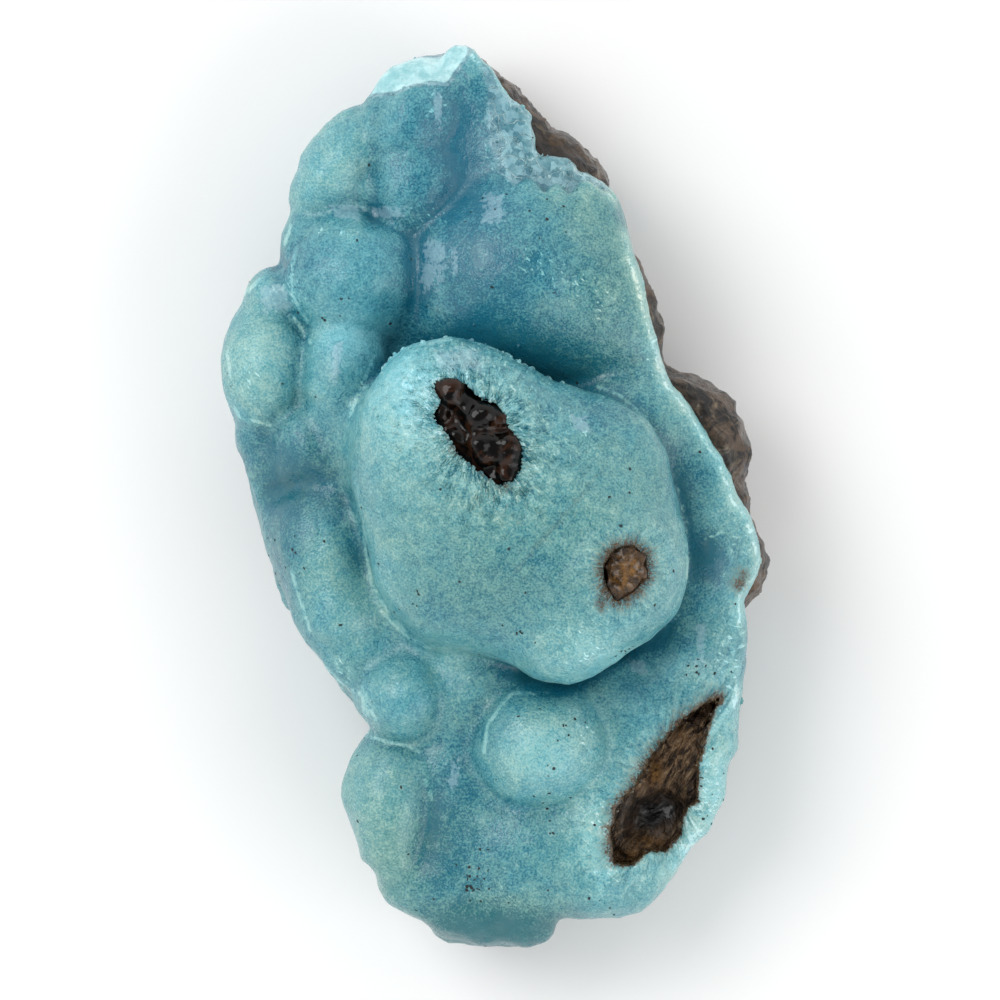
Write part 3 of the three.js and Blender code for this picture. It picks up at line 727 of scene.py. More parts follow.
stone_mesh = mesh_of(stone_field, "limonite_stone")
spots, _ = spots_of(stone_mesh)
in_head = (sampled(head_outline, spots) < 0.3) & (spots[:, 2] > HOLE_LEVEL)
in_tail = (sampled(tail_outline, spots) < 0.3) & (spots[:, 2] > HOLE_LEVEL)
in_cavity = sampled(cavity_outline, spots) < 0.4
off_outcrops = np.minimum.reduce([sampled(outline, spots) for outline in outcrop_edges])
bare = (off_outcrops < 0.5) | in_head | in_tail | in_cavity
pocket = np.clip(places_sum(spots, POCKET_SHADE), 0, 1) * in_cavity
earthy = in_tail * np.clip(0.2 - sampled(tail_outline, spots) / 0.6, 0, 1) + places_sum(spots, OCHRES)
keep_values(
    stone_mesh,
    dark=np.clip(places_sum(spots, DARKS), 0, 1),
    free=np.clip(spots[:, 2] / 0.8, 0, 1) * np.where(bare, 1, 0.3),
    gloss=1.0 * in_head + 0.3 * pocket,
    tan=np.clip(earthy, 0, 1),
    walls=in_cavity * (1 - pocket),
    rough=np.where(in_head, 0.55, np.where(in_tail, 0.7, 0.9 - 0.4 * pocket)))
stone = new_piece("limonite_stone", stone_mesh)

BROWN = (colour(14, 10, 9), colour(82, 65, 51))  # each pair is the dark and the light of a colour
CAVITY_BROWN = (colour(33, 24, 17), colour(120, 96, 72))
OCHRE = (colour(17, 12, 7), colour(124, 88, 42))
GLOSSY_BROWN = (colour(5, 3, 2), colour(44, 25, 14))
PALE_LAYER_AND_HIGHLIGHT = colour(154, 138, 112)
PALE_FIBRE = colour(156, 134, 102)
BLACK_CRUST_AND_SHADE = colour(10, 7, 6)
stone_look, shader, place = shader_of("limonite")
gloss, walls, tan = place.kept("gloss"), place.kept("walls"), place.kept("tan")
blotch = place.noise(1.5, 3, 0.65, 0.8)
grain = place.noise(0.5, 3, 0.7)
layers = place.vector_math("MULTIPLY", (0.7, 0.7, 3.0)).noise(1.1, 3, 0.6, 1.2, 4)
# fibres in the long cavity run along it
fibres = place.along((0.17, 0.25, 0)).beside(place.along((0.83, -0.55, 0.2))).noise(0.3, 3, 0.7, 0.6)
brown = place.tinted(blotch.eased(0.42, 0.58), *BROWN)
# pale layers: the stone's banding, and on the glossy outcrops painted highlights along the ridges as well
brown = place.tinted(0.7 * (layers + 0.3 * grain).eased(0.64, 0.98), brown, PALE_LAYER_AND_HIGHLIGHT)
brown = place.tinted(walls, brown, place.tinted(fibres.eased(0.38, 0.62), *CAVITY_BROWN))
brown = place.tinted(walls * fibres.eased(0.56, 0.68), brown, PALE_FIBRE)
brown = place.tinted(tan, brown, place.tinted(place.noise(0.4, 4, 0.8).eased(0.32, 0.68), *OCHRE))
# nearly black: the stone's black crust, and painted shade in the cavity's pocket and on its right wall
brown = place.tinted(0.9 * place.kept("dark") * (0.5 + grain), brown, BLACK_CRUST_AND_SHADE)
brown = place.tinted(gloss, brown, place.tinted(blotch.eased(0.46, 0.62), *GLOSSY_BROWN))
brown.to(shader.inputs["Base Color"])
(0.42 - 0.30 * gloss + 0.2 * (grain - 0.5)).to(shader.inputs["Roughness"])
shader.inputs["Specular IOR Level"].default_value = 0.25
((1 - gloss) * (1 - walls) * 0.5).to(shader.inputs["Coat Weight"])
shader.inputs["Coat Roughness"].default_value = 0.18
height = (1 - gloss) * (0.10 * grain + 0.45 * layers + 0.05 * place.cells(0.35))
height = height + 0.07 * place.noise(0.7, 2) + 0.3 * walls * fibres
raise_skin(shader, height)
weathering = weathering_tree()
settle(stone, weathering, lump_size=2.4, lump_height=2.0, bump_size=1.1, bump_height=0.8, grit_size=0.6,
       grit_height=0.35, seed=3.0, material=stone_look)
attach(stone, "root")
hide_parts("limonite_matrix")

# ---------------------------------------------------------------------------------------------------------
# The crust: blue-green hemimorphite, a skin of fine needles grown side by side, with a satin surface. It is
# paler and glassier where it broke and round the holes, and painted shade makes it deeper blue in the
# hollows between the lobes.

HIDDEN_SHARE = 0.16  # how many of the faces on the side that lies on the stone are kept
# The lowest that the crust has rims and broken faces, painted reflections, and pale lines, in millimetres.
TOP_SIDE = 8
REFLECTION_SIDE = 7.5
PALE_LINE_SIDE = 5.5
# Soft places in the crust's colour: x, y, reach across, reach along and amount. How pale it is, or how deep
# where the amount is below nought. Many are painted light and shade: they darken the valleys, the dip in the
# left edge and the band under the knob's overhang, and lighten the creases round the knob:
TONE_AND_PAINTED_LIGHT_PLACES = (
    (-1.5, 21.0, 2.0, 5.0, -0.30), (-4.8, 21.0, 2.6, 3.4, -0.18), (7.6, 12.0, 2.4, 4.5, -0.06),
    (-7.6, -6.6, 1.8, 2.4, 0.26), (-3.6, -10.2, 2.6, 1.6, 0.3), (4.5, -11.9, 3.0, 1.0, 0.2),
    (-8.4, 9.9, 2.4, 1.2, 0.38), (6.8, 5.6, 2.0, 2.0, -0.12), (-12.6, -3.0, 1.5, 4.0, -0.28),
    (-12.0, 14.4, 1.4, 1.6, -0.12), (-3.0, -22.0, 4.0, 3.0, -0.14), (8.2, -10.2, 2.2, 1.0, 0.28),
    (13.0, -1.0, 1.8, 3.0, 0.16), (13.1, -3.8, 0.9, 1.3, -0.9), (-0.6, 14.0, 3.5, 3.0, -0.26),
    (-6.0, 19.5, 5.0, 5.0, 0.05), (2.0, 9.6, 5.5, 1.6, -0.10), (-12.0, 1.4, 2.6, 2.4, -0.32),
    (9.0, -11.3, 3.6, 2.2, -0.08), (12.8, 1.0, 2.0, 3.5, -0.2), (-2.5, -18.5, 1.5, 3.5, -0.14),
    (-4.5, 13.0, 0.8, 3.0, -0.3), (14.6, -9.5, 0.8, 4.5, 0.06), (12.4, -5.5, 2.0, 3.5, 0.10),
    (-3.0, -6.5, 3.0, 2.0, -0.06), (-0.6, -14.0, 1.6, 2.0, -0.10), (-3.7, -20.0, 0.8, 2.6, -0.14),
    (-14.6, 3.0, 1.2, 2.0, -0.14), (-5.0, 5.2, 3.5, 4.0, 0.32), (3.0, -15.3, 3.0, 2.8, 0.34),
    (13.5, -17.0, 1.5, 4.5, 0.24), (11.0, -22.5, 2.0, 2.5, 0.25), (6.3, -20.5, 1.6, 3.5, 0.25),
    (5.5, -9.3, 3.0, 2.0, 0.24), (-6.8, -19.0, 2.4, 4.5, 0.12), (-9.8, 20.0, 2.8, 3.6, 0.15),
    (-14.0, 8.0, 2.6, 3.6, 0.26), (-10.6, -3.6, 2.6, 3.4, 0.16), (0.0, -26.6, 4.5, 1.5, -0.46),
    (-7.2, 20.5, 0.45, 3.0, -0.12), (-4.4, 22.0, 2.2, 2.4, 0.04), (-3.5, 10.6, 2.0, 1.4, 0.10),
    (-11.5, 6.0, 1.5, 2.0, 0.08), (4.5, 14.0, 3.0, 2.5, -0.02), (-5.5, 7.6, 2.6, 2.2, 0.1),
    (1.0, -5.5, 5.0, 3.0, -0.06), (2.0, 0.0, 7.0, 3.0, 0.05),
)
# and how green it is, or how blue where the amount is below nought:
GREENS = (
    (-6.0, -22.5, 2.5, 2.5, 0.8), (7.5, 13.5, 2.5, 5.0, 0.7), (0.0, -5.5, 5.0, 3.0, 0.45),
    (8.0, 0.0, 3.0, 3.0, 0.3), (1.5, -0.5, 7.0, 4.0, 0.35), (-10.0, 20.5, 3.0, 4.0, 0.1),
    (-14.0, 7.0, 3.0, 4.0, 0.1), (-10.0, -4.0, 3.5, 4.0, 0.15), (0.0, -26.4, 4.0, 1.6, 2.4),
    (-7.0, -18.0, 2.5, 4.0, 0.4), (4.5, 18.0, 3.0, 2.5, 0.4), (-8.5, 13.4, 3.6, 3.2, -0.6),
    (-1.5, 20.0, 2.5, 5.0, -0.7), (-6.0, 19.0, 5.0, 6.0, -0.2), (0.0, 12.0, 4.5, 3.0, -0.4),
    (-7.6, 9.4, 2.8, 2.0, -1.0), (-4.4, 22.0, 2.4, 2.4, -0.4), (0.0, 16.4, 4.0, 3.0, -0.4),
    (-5.0, 6.0, 3.0, 3.0, -0.4), (9.0, -11.5, 3.5, 2.0, -0.4), (-5.4, -12.3, 2.5, 2.5, -0.3),
)
# Iron stains away from the holes, and one at the right corner that shows from above only:
STAINS = (
    (6.4, -6.6, 0.35, 0.5, 0.6), (0.8, 0.3, 0.7, 0.4, 0.5), (-2.6, 2.6, 0.4, 0.5, 0.3),
    (6.1, 19.9, 0.6, 0.8, 0.5),
)
CORNER_STAIN = ((15.3, -5.3, 1.0, 1.1, 1.3),)
# Where dark specks lie thickest, with their share as the amount:
SPECKS = (
    (3.4, -17.5, 0.5, 3.2, 0.2), (3.6, -14.0, 1.2, 1.2, 0.12), (-1.2, -23.2, 0.7, 1.0, 1.0),
    (12.5, -10.5, 1.0, 0.5, 0.45), (2.2, -8.4, 0.9, 0.5, 0.4), (-3.7, -24.6, 0.7, 0.5, 0.4),
    (1.0, -24.5, 0.6, 0.6, 0.3), (6.5, -24.6, 0.6, 0.8, 0.35), (4.2, 16.8, 1.6, 1.4, 0.14),
    (-0.6, 17.4, 1.2, 0.8, 0.15), (-11.6, -3.6, 1.2, 1.6, 0.12), (-4.6, -6.6, 0.8, 0.5, 0.35),
    (13.2, -17.6, 0.8, 2.0, 0.12), (-10.6, 11.6, 2.2, 1.6, 0.08), (8.2, -9.4, 0.6, 0.3, 0.8),
)
# Painted glints, pale strokes for tiny highlights on crystal faces, lie thickest here; facets stand out
# more:
PAINTED_GLINT_AND_FACET_PLACES = (
    (2.6, 14.4, 0.8, 0.8, 0.6), (4.4, 13.0, 1.6, 0.9, 0.6), (6.6, 11.6, 1.2, 1.2, 0.6),
    (-4.0, 17.0, 1.4, 0.9, 0.4), (-3.4, 23.6, 0.8, 1.6, 0.5), (1.2, 20.6, 1.6, 2.0, 0.6),
    (4.6, 19.4, 1.6, 0.8, 0.6), (9.6, 8.6, 0.8, 2.0, 0.6), (1.6, 7.2, 3.0, 1.2, 0.4),
    (5.0, 4.0, 2.0, 1.6, 0.3), (11.2, -2.6, 0.8, 2.4, 0.1), (13.2, -3.8, 1.0, 1.4, 0.4),
    (5.2, -9.0, 2.0, 1.6, 0.4), (14.4, -9.5, 0.8, 2.4, 0.8), (-12.4, 12.4, 1.0, 1.6, 0.6),
    (-9.6, 16.0, 1.6, 0.6, 0.4), (5.6, -14.4, 0.8, 1.6, 0.5), (-14.6, 6.8, 1.0, 2.0, 0.4),
    (-8.0, 6.0, 1.0, 2.0, 0.3), (-9.0, -11.0, 1.0, 1.6, 0.5), (6.4, -19.0, 1.2, 3.0, 0.3),
    (12.8, -20.5, 1.4, 2.6, 0.4), (15.2, -2.6, 0.8, 1.4, 0.6), (0.4, -24.0, 3.0, 1.2, 0.2),
)
# Painted reflections: pale grey flat spots where a softbox would mirror in the glossy skin: x, y and half
# widths across and along.
PAINTED_REFLECTIONS = (
    (-3.6, 13.9, 0.65, 1.25), (-2.3, 14.1, 0.2, 0.95), (-0.05, 17.3, 0.6, 0.75), (-2.4, -17.0, 0.35, 0.8),
    (-3.3, 23.4, 0.22, 1.2), (-9.0, 17.2, 1.0, 0.4), (-6.3, 17.2, 0.9, 0.35), (-1.9, 8.1, 1.4, 0.7),
    (5.2, 4.3, 0.5, 0.45), (8.8, -10.4, 0.5, 0.4), (-13.2, 12.0, 0.9, 0.7), (12.6, -9.0, 0.3, 1.0),
    (-9.4, 8.3, 0.3, 1.1),
)
# Pale thin lines along creases, where the edge of one lobe lies over the next. Those along the knob's rim
# and along the left outline are painted highlights, where light would catch the edge.
PALE_LINES_AND_EDGE_HIGHLIGHTS = (
    ((-12.1, 10.8), (-11.1, 9.2)), ((-16.2, 5.9), (-15.3, 4.7), (-13.5, 4.2)), ((-7.1, 8.6), (-8.7, 4.7)),
    ((-7.9, -1.9), (-7.6, -4.0), (-7.3, -5.5), (-6.3, -7.1), (-5.3, -8.2)),
    ((-8.0, -14.6), (-5.2, -15.2), (-4.4, -15.6), (-4.1, -17.2), (-3.7, -18.5)),
    ((-0.6, -15.6), (-0.4, -13.9), (1.1, -12.0), (3.4, -11.9)),
    ((-12.0, 14.9), (-12.25, 13.3), (-12.0, 11.8), (-11.3, 10.5)), ((11.2, 0.5), (11.8, -2.9), (11.7, -5.0)),
    ((-6.8, -7.0), (-5.4, -8.4), (-3.8, -9.3)), ((11.2, -7.3), (9.6, -8.7), (8.2, -9.5)),
    ((6.2, 6.6), (7.6, 6.1), (8.9, 5.0)), ((-0.9, 9.1), (0.6, 8.7), (1.8, 7.9)),
    ((-7.6, -12.5), (-7.6, -14.5)), ((11.9, -4.0), (12.4, -2.9), (13.9, -2.2)),
    ((-6.0, 8.4), (-5.0, 9.0), (-2.5, 9.4)), ((9.6, 9.6), (10.4, 7.4)),
    ((-12.2, -4.6), (-11.7, -6.5), (-11.1, -8.2)),
    ((-10.2, -10.5), (-9.0, -11.6), (-7.9, -12.2), (-7.8, -13.5)),
    ((-7.9, -11.5), (-7.5, -12.8), (-7.1, -13.6)),
    ((-12.7, 15.2), (-12.3, 16.4)), ((-16.2, 8.8), (-16.0, 7.2)), ((-15.3, 12.1), (-14.1, 13.1)),
)
# How far the pale rim round each opening reaches, and its share of small crystals.
RIMS = ((head_outline, 1.6, 1.0), (tail_outline, 0.9, 0.0), (cavity_outline, 1.0, 0.05))
# Fibres lie like the spokes of a wheel round each opening: the wheel's middle, and how much it is stretched.
WHEELS = (
    (head_outline, (-0.9, 3.9), (1.0, 0.8)),
    (tail_outline, (7.9, -4.6), (1.0, 1.0)),
    (cavity_outline, (10.6, -17.6), (1.0, 0.55)),
)

crust_mesh = mesh_of(crust_field, "hemimorphite_crust_skin")
crust = new_piece("hemimorphite_crust_skin", crust_mesh)
spots, _ = spots_of(crust_mesh)
off_openings = np.minimum.reduce([
    sampled(outline, spots) for outline in (head_outline, tail_outline, cavity_outline, near_break)])
hidden = (sampled(depth, spots) < -CRUST_THICKNESS / 2) & (off_openings > 0.8)
group = crust.vertex_groups.new(name="hidden")
group.add(np.flatnonzero(hidden).tolist(), 1.0, "ADD")
thinning = crust.modifiers.new("thinning", "DECIMATE")
thinning.ratio = 1 - (1 - HIDDEN_SHARE) * float(np.mean(hidden))
thinning.vertex_group = "hidden"
thinning.vertex_group_factor = 10.0
depsgraph = bpy.context.evaluated_depsgraph_get()
crust_mesh = bpy.data.meshes.new_from_object(crust.evaluated_get(depsgraph))
crust.modifiers.clear()
crust.vertex_groups.clear()
crust.data = crust_mesh

spots, facing = spots_of(crust_mesh)
x, y, z = spots.T


def near(outline, reach):
    """1 within an outline and falling off over a reach outside it, at the crust's spots."""
    return np.exp(-np.maximum(sampled(outline, spots), 0) / reach)


# how much the surface about a spot closes in over it, and how thin the crust is there, over three reaches
hollow, thin = 0, 0
for reach in (0.8, 1.6, 3.2):
    hollow = hollow + np.clip(1 - sampled(depth, spots + reach * facing) / reach, 0, 2) / 3
    thin = thin + np.clip(1 + sampled(depth, spots - reach * facing) / reach, 0, 1) / 3
crease = np.clip((0.75 - sampled(depth, spots + 0.8 * facing) / 0.8) / 0.6, 0, 1)
on_top = np.clip((sampled(depth, spots) + 0.9) / 0.6, 0, 1)  # 0 on the holes' walls and the underside
rim, chips = 0, 0
for outline, reach, share in RIMS:
    nearness = near(outline, reach) * (z > TOP_SIDE) * on_top
    rim = np.maximum(rim, nearness)
    chips = np.maximum(chips, share * nearness ** 2)
upper_side = np.clip(-0.84 * (x - 10.6) + 0.55 * (y + 17.6), 0, 1)  # of the cavity, where it stains more
stain = 1.1 * near(tail_outline, 0.8) + places_sum(spots, STAINS)
stain = stain + np.clip(z / 2.5 - 3.8, 0, 1) * places_sum(spots, CORNER_STAIN)
stain = stain + 1.1 * near(cavity_outline, 0.3 + 0.6 * upper_side) + 0.5 * near(head_outline, 0.25)
stain = np.where((z > CAVITY_FLOOR) & (sampled(cavity_outline, spots) < 0.1), 2.0, stain)
# a place that changes fast round the nearest opening and slowly away from it, so that a pattern on it lies
# like spokes
wheel_places = np.zeros((len(spots), 3))
off_opening = np.inf
for number, (outline, middle, stretch) in enumerate(WHEELS):
    off = sampled(outline, spots)
    arm = (spots[:, :2] - middle) * stretch
    arm /= np.linalg.norm(arm, axis=1)[:, None]
    nearer = off < off_opening
    wheel_places[nearer] = np.column_stack((5 * arm, 0.6 * off + 20 * number))[nearer]
    off_opening = np.minimum(off_opening, off)
layer = crust_mesh.attributes.new("spokes", "FLOAT_VECTOR", "POINT")
layer.data.foreach_set("vector", wheel_places.astype(np.float32).ravel())
# the glassy break fills its outline, and the weathered one only shows where it wasn't rounded off
broken = 0
for glassy, at_point, turned, outline in BREAKS:
    off_plane = np.abs((spots - at_point) @ np.array(turned))
    within = np.clip(0.6 - sampled(to_outline(outline), spots) / 0.5, 0, 1)
    on_plane = 1 if glassy == 1 else np.clip(1.6 - off_plane / 0.5, 0, 1)
    broken = np.maximum(broken, glassy * within * on_plane * np.clip((z - TOP_SIDE) / 1.5, 0, 1))
from_edge = sampled(edge, spots)
off_break = sampled(near_break, spots)
cut_edge = np.exp(-(from_edge / 0.5) ** 2) * np.clip(1.6 - off_break, 0, 1)
seam = np.minimum.reduce([to_path(x, y, path) for path in PALE_LINES_AND_EDGE_HIGHLIGHTS])
worn = np.zeros(len(spots))
for middle_x, middle_y, across, along in PAINTED_REFLECTIONS:
    off = np.maximum(np.abs(x - middle_x) / across, np.abs(y - middle_y) / along)
    worn = np.maximum(worn, np.clip(1.6 - off, 0, 1) * on_top * (z > REFLECTION_SIDE))
# painted shade: the colour darkens where the surface closes in over a spot and along the creases, where
# shade would fall
tone = 0.2 + places_sum(spots, TONE_AND_PAINTED_LIGHT_PLACES) - 0.36 * hollow - 0.2 * crease
tone = tone + 0.4 * thin + 0.25 * rim + 0.35 * cut_edge
keep_values(
    crust_mesh,
    worn=worn,
    free=np.clip(z / 0.8, 0, 1),
    tone=tone,
    green=places_sum(spots, GREENS),
    edge_line=np.where(on_top * (off_break < 1.2) > 0.2, from_edge, OFF_PATH),
    glints=np.clip(places_sum(spots, PAINTED_GLINT_AND_FACET_PLACES) + 0.1 + 0.4 * rim, 0, 1),
    rim=rim,
    broken=broken,
    stain=np.clip(stain, 0, 2),
    seam=np.where((on_top > 0.5) & (z > PALE_LINE_SIDE), seam, OFF_PATH),
    rough=np.clip(0.25 + 0.35 * broken + 0.5 * rim + 0.4 * cut_edge, 0, 1),
    crystals=np.clip(chips + 0.08 * broken * (broken < 0.6), 0, 1),
    specks=np.clip(places_sum(spots, SPECKS) + 0.005, 0, 1) * on_top)

# the tone ramp, from the deep blue that paints shade into the hollows on up to the frosted lips
DEEP_BLUE = colour(24, 100, 118)  # of the hollows, and on up to the frosted lips
SEA_BLUE = colour(88, 150, 157)
PALE_BLUE = colour(135, 187, 189)
FROST = colour(188, 229, 234)
BLUER = (0.70, 1.0, 1.11, 1)  # what the colour is multiplied by where it is bluest and greenest
GREENER = (1.28, 1.0, 0.84, 1)
WEATHERED_BREAK = (colour(72, 120, 136), colour(142, 182, 194))
GLASSY_BREAK = (colour(150, 208, 212), colour(202, 242, 244))
CRACK = colour(208, 242, 243)
REFLECTION_GREY = colour(156, 190, 204)
FAINT_STAIN = colour(98, 98, 84)
IRON_STAIN = (colour(36, 27, 19), colour(88, 72, 50))
crust_look, shader, place = shader_of("hemimorphite")
blotch = place.noise(3.2, 2, 0.55, 0.5)
mottle = place.noise(1.1, 3, 0.65, 0.3, 2)
grain = place.noise(0.32, 2, 0.7, 0, 5)
fine = place.noise(0.13, 1, 0.6, 0, 9).eased(0.3, 0.7)
rim, broken, painted_glint_and_facet_share = place.kept("rim"), place.kept("broken"), place.kept("glints")
# the needles end in small facets, each turned its own way, drawn out like spokes round the holes
spokes = place.kept("spokes", "Vector")
fibre = spokes.noise(0.42, 2, 0.7).eased(0.36, 0.62)
facet = place.facets(2.4)
spoke_facet = spokes.facets(2.6)
# painted glints: short pale strokes that stand in for tiny highlights, most of them slanting down to the
# right
strokes = place.along((0.28, -0.40, 0)).beside(place.along((0.8, 0.6, 0.4)))
glint = strokes.noise(0.2, 1, 0.5, 0, 6).eased(0.61, 0.71)
glint = glint * (painted_glint_and_facet_share + 0.9 * (mottle - 0.5)).eased(0.1, 0.6)
# thin pale lines: one along each seam or painted edge highlight, and one along the lip where the top
# turns over into a broken edge
line = 1 - (place.kept("seam") + 0.16 * (grain - 0.5)).eased(0.03, 0.17)
off_lip = place.kept("edge_line") + 0.12 + 0.5 * (mottle - 0.5)
lip = 1 - off_lip.math("ABSOLUTE", off_lip).eased(0.02, 0.16)
lip = lip * (0.25 + 0.75 * mottle.eased(0.42, 0.60)) * grain.eased(0.35, 0.55)
tone = place.kept("tone") + 0.24 * (blotch - 0.5) + 0.19 * (mottle - 0.5) + 0.16 * (grain - 0.5)
tone = tone + 0.28 * (fine - 0.5) + 0.55 * rim * (fibre - 0.5)
tone = tone + (0.12 + 0.3 * painted_glint_and_facet_share) * (facet - 0.5) + 0.8 * rim * (spoke_facet - 0.5)
tone = tone + 0.4 * line * mottle.eased(0.35, 0.55) + 0.7 * lip + 0.6 * glint
body = place.tinted(tone.eased(-0.1, 0.30), DEEP_BLUE, SEA_BLUE)
body = place.tinted(tone.eased(0.22, 0.62), body, PALE_BLUE)
body = place.tinted(tone.eased(0.60, 1.15), body, FROST)
green = place.kept("green") + 1.2 * (blotch - 0.5) + 1.2 * (mottle - 0.5) + 0.5 * (fine - 0.5)
body = place.tinted(1.0, body, place.tinted(green.eased(-1.0, 1.1), BLUER, GREENER), "MULTIPLY")
# the weathered break is crossed by fine cracks, and the glassy one isn't
bent = place.node("ShaderNodeTexNoise", (), {"Vector": place, "Scale": 0.8, "Detail": 2.0}, "Color")
bent = bent.scaled(1.4).vector_math("ADD", place)
cracks = (1 - bent.cells(1.3, "DISTANCE_TO_EDGE").eased(0.0, 0.04)) * (1 - broken.eased(0.6, 0.7))
edged = broken + 0.3 * (mottle - 0.5)
weathered_blue = place.tinted((0.5 * mottle + 0.5 * facet).eased(0.3, 0.7), *WEATHERED_BREAK)
body = place.tinted(0.7 * edged.eased(0.15, 0.45), body, weathered_blue)
body = place.tinted(0.8 * broken * cracks * mottle.eased(0.35, 0.5), body, CRACK)
glassy_blue = place.tinted(mottle.eased(0.35, 0.65), *GLASSY_BREAK)
body = place.tinted(0.75 * edged.eased(0.65, 0.9), body, glassy_blue)
# painted reflections: pale grey flat spots that stand in for a softbox mirrored in the glossy skin
worn = (place.kept("worn") + 2.2 * (mottle - 0.5) + 1.5 * (grain - 0.5)).eased(0.45, 0.9)
body = place.tinted(0.4 * worn, body, REFLECTION_GREY)
stain = (place.kept("stain") * (0.2 + 0.3 * fibre + 0.6 * grain + 0.4 * fine)).eased(0.2, 0.9)
stained = place.tinted(grain.eased(0.35, 0.65), *IRON_STAIN)
body = place.tinted(stain, body, place.tinted(stain.eased(0.2, 0.8), FAINT_STAIN, stained))
body.to(shader.inputs["Base Color"])
(0.12 + 0.36 * mottle - 0.08 * rim - 0.1 * broken).to(shader.inputs["Roughness"])
(0.3 * mottle.eased(0.4, 0.65)).to(shader.inputs["Coat Weight"])
shader.inputs["Coat Roughness"].default_value = 0.35
height = 0.10 * mottle + 0.03 * grain + 0.10 * rim * fibre + 0.012 * fine
height = height + (0.02 + 0.035 * painted_glint_and_facet_share) * facet + 0.10 * rim * spoke_facet
height = height - 0.1 * broken * cracks
raise_skin(shader, height)
shader.inputs["Subsurface Weight"].default_value = 0.18
shader.inputs["Subsurface Radius"].default_value = (0.6, 1.0, 1.1)
shader.inputs["Subsurface Scale"].default_value = 0.0010
settle(crust, weathering, lump_size=3.0, lump_height=0.5, bump_size=1.0, bump_height=0.28, grit_size=0.55,
       grit_height=0.22, seed=1.0, material=crust_look)
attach(crust, "root")
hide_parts("hemimorphite_crust")

# ---------------------------------------------------------------------------------------------------------
# Small crystals: flat pale chips of hemimorphite, longer than wide and sunk a little into the skin. They lie
# like spokes round the long hole, and a few lie beside the cavity and on the weathered break.


def scatter_tree(name, add_grain):
    """A node tree that strews grains over a surface, thickest where a number kept on it is highest."""
    tree, given = new_tree(
        name, density="Float", seed="Int", smallest="Vector", largest="Vector", lean="Float", spin="Float")
    start = Wire(tree)
    share = start.node("GeometryNodeInputNamedAttribute", {"data_type": "FLOAT"}, {"Name": name})
    points = start.node("GeometryNodeDistributePointsOnFaces", (), {
        "Mesh": given["Geometry"], "Density": share * given["Density"], "Seed": given["Seed"]})
    upright = Wire(tree, points.socket.node.outputs["Rotation"])
    spoke = start.node("GeometryNodeInputNamedAttribute", {"data_type": "FLOAT_VECTOR"}, {"Name": "spokes"})
    along = start.node("FunctionNodeAlignRotationToVector", {"axis": "X", "pivot_axis": "Z"}, {
        "Rotation": upright, "Vector": spoke.vector_math("MULTIPLY", (1, 1, 0))})
    most = start.node("ShaderNodeCombineXYZ", (), {0: given["Lean"], 1: given["Lean"], 2: given["Spin"]})
    lean = start.node("FunctionNodeRandomValue", {"data_type": "FLOAT_VECTOR"}, {
        0: most.scaled(-1.0), 1: most, "Seed": 7})
    turned = start.node("FunctionNodeRotateRotation", {"rotation_space": "LOCAL"}, {
        0: along, 1: start.node("FunctionNodeEulerToRotation", (), {0: lean})})
    size = start.node("FunctionNodeRandomValue", {"data_type": "FLOAT_VECTOR"}, {
        0: given["Smallest"], 1: given["Largest"], "Seed": 9})
    strewn = start.node("GeometryNodeInstanceOnPoints", (), {
        "Points": points, "Instance": add_grain(start), "Rotation": turned, "Scale": size})
    end_tree(tree, strewn, given["Material"])
    return tree


def chip(start):
    """A five-sided point without its tip, one unit across and two high, a quarter of it below the skin."""
    cone = start.node("GeometryNodeMeshCone", (), {
        "Vertices": 5, "Radius Top": 0.18, "Radius Bottom": 0.5, "Depth": 2.0})
    return start.node("GeometryNodeTransform", (), {"Geometry": cone, "Translation": (0, 0, -0.5)})


SMALLEST_CHIP = (0.00020, 0.00010, 0.00005)  # length, width and half height in metres
LARGEST_CHIP = (0.00070, 0.00028, 0.00012)
crystals = new_piece("hemimorphite_crystals", crust.data.copy())
settle(crystals, scatter_tree("crystals", chip), density=22e6, seed=5, smallest=SMALLEST_CHIP,
       largest=LARGEST_CHIP, lean=0.3, spin=0.4, material=crust_look)
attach(crystals, "root")

# ---------------------------------------------------------------------------------------------------------
# Specks: dark grains of iron and manganese oxide, up to 0.3 mm across, that settled on the crust while it
# grew. They lie in loose clusters, half sunk in it.


def speck(start):
    """A rough round grain, one unit across."""
    return start.node("GeometryNodeMeshIcoSphere", (), {"Radius": 0.5, "Subdivisions": 1})


SMALLEST_SPECK = (0.00005, 0.00005, 0.00005)  # length, width and height in metres
LARGEST_SPECK = (0.00030, 0.00026, 0.00012)
BLACK_GREEN = (colour(1, 18, 22), colour(10, 42, 44))
specks = new_piece("limonite_specks", crust.data.copy())
speck_look, shader, place = shader_of("limonite_speck")
place.tinted(place.noise(0.8, 2).eased(0.45, 0.65), *BLACK_GREEN).to(shader.inputs["Base Color"])
shader.inputs["Roughness"].default_value = 0.6
settle(specks, scatter_tree("specks", speck), density=8e6, seed=8, smallest=SMALLEST_SPECK,
       largest=LARGEST_SPECK, lean=0.3, spin=3.0, material=speck_look)
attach(specks, "root")

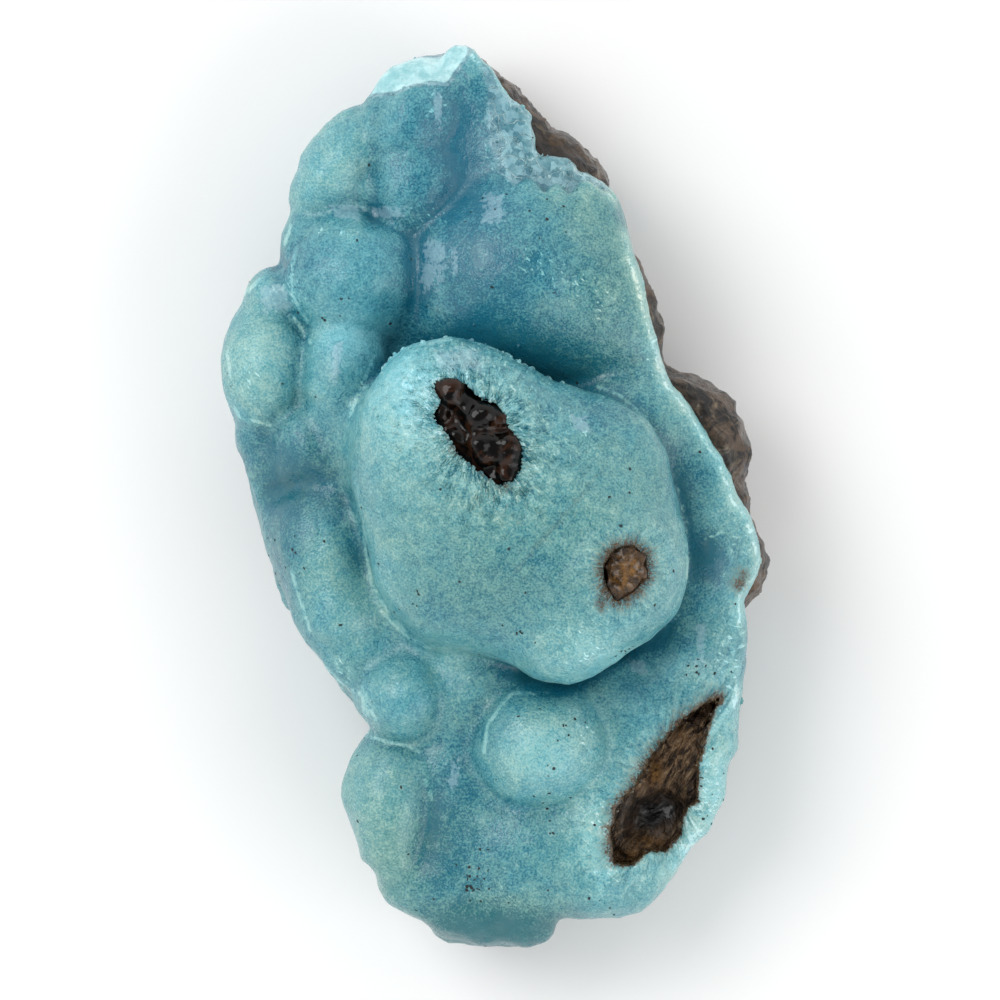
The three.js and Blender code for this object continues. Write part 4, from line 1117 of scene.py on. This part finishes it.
# ---------------------------------------------------------------------------------------------------------
# The setting, which isn't part of the specimen: a plain pale table, soft light all round, two square lamps
# and a camera straight above.

STUDIO_LIGHT = 1.2
OVERHEAD_DROP = 0.92  # how much darker it is straight above, where the camera is
LAMP_AIM = (0, 0, 0.008)
CAMERA_PLACE = (0.00052, -0.0003, 0.611)
LENS_LENGTH = 356  # millimetres, for a frame as wide as the next
FRAME_WIDTH = 36

bpy.ops.mesh.primitive_plane_add(size=2.0, location=(0, 0, 0))
table = bpy.context.object
table.name = "table"
table_look = bpy.data.materials.new("pale_table")
table_look.use_nodes = True
table_look.node_tree.nodes["Principled BSDF"].inputs["Base Color"].default_value = (0.9, 0.9, 0.9, 1)
table_look.node_tree.nodes["Principled BSDF"].inputs["Roughness"].default_value = 0.6
table.data.materials.append(table_look)

world = bpy.data.worlds.new("studio")
world.use_nodes = True
ground = world.node_tree.nodes["Background"]
ground.inputs["Color"].default_value = (1, 1, 1, 1)
way = Wire(world.node_tree).node("ShaderNodeTexCoord", output="Generated")
upwards = way.node("ShaderNodeSeparateXYZ", (), {0: way}, "Z")
(STUDIO_LIGHT - OVERHEAD_DROP * upwards.eased(0.6, 0.92)).to(ground.inputs["Strength"])
bpy.context.scene.world = world


def softbox(name, place, size, power):
    """A square soft light that looks at the specimen."""
    lamp = bpy.data.lights.new(name, "AREA")
    lamp.energy = power
    lamp.size = size
    light = bpy.data.objects.new(name, lamp)
    light.location = place
    light.rotation_euler = (Vector(LAMP_AIM) - Vector(place)).to_track_quat("-Z", "Y").to_euler()
    bpy.context.scene.collection.objects.link(light)


softbox("key_light", (-0.20, 0.12, 0.34), 0.22, 0.72)
softbox("fill_light", (0.3, -0.2, 0.3), 0.30, 0.45)

lens = bpy.data.cameras.new("camera")
lens.lens = LENS_LENGTH
lens.sensor_width = FRAME_WIDTH
camera = bpy.data.objects.new("camera", lens)
camera.location = CAMERA_PLACE
bpy.context.scene.collection.objects.link(camera)
bpy.context.scene.camera = camera
bpy.context.scene.view_settings.view_transform = "Standard"
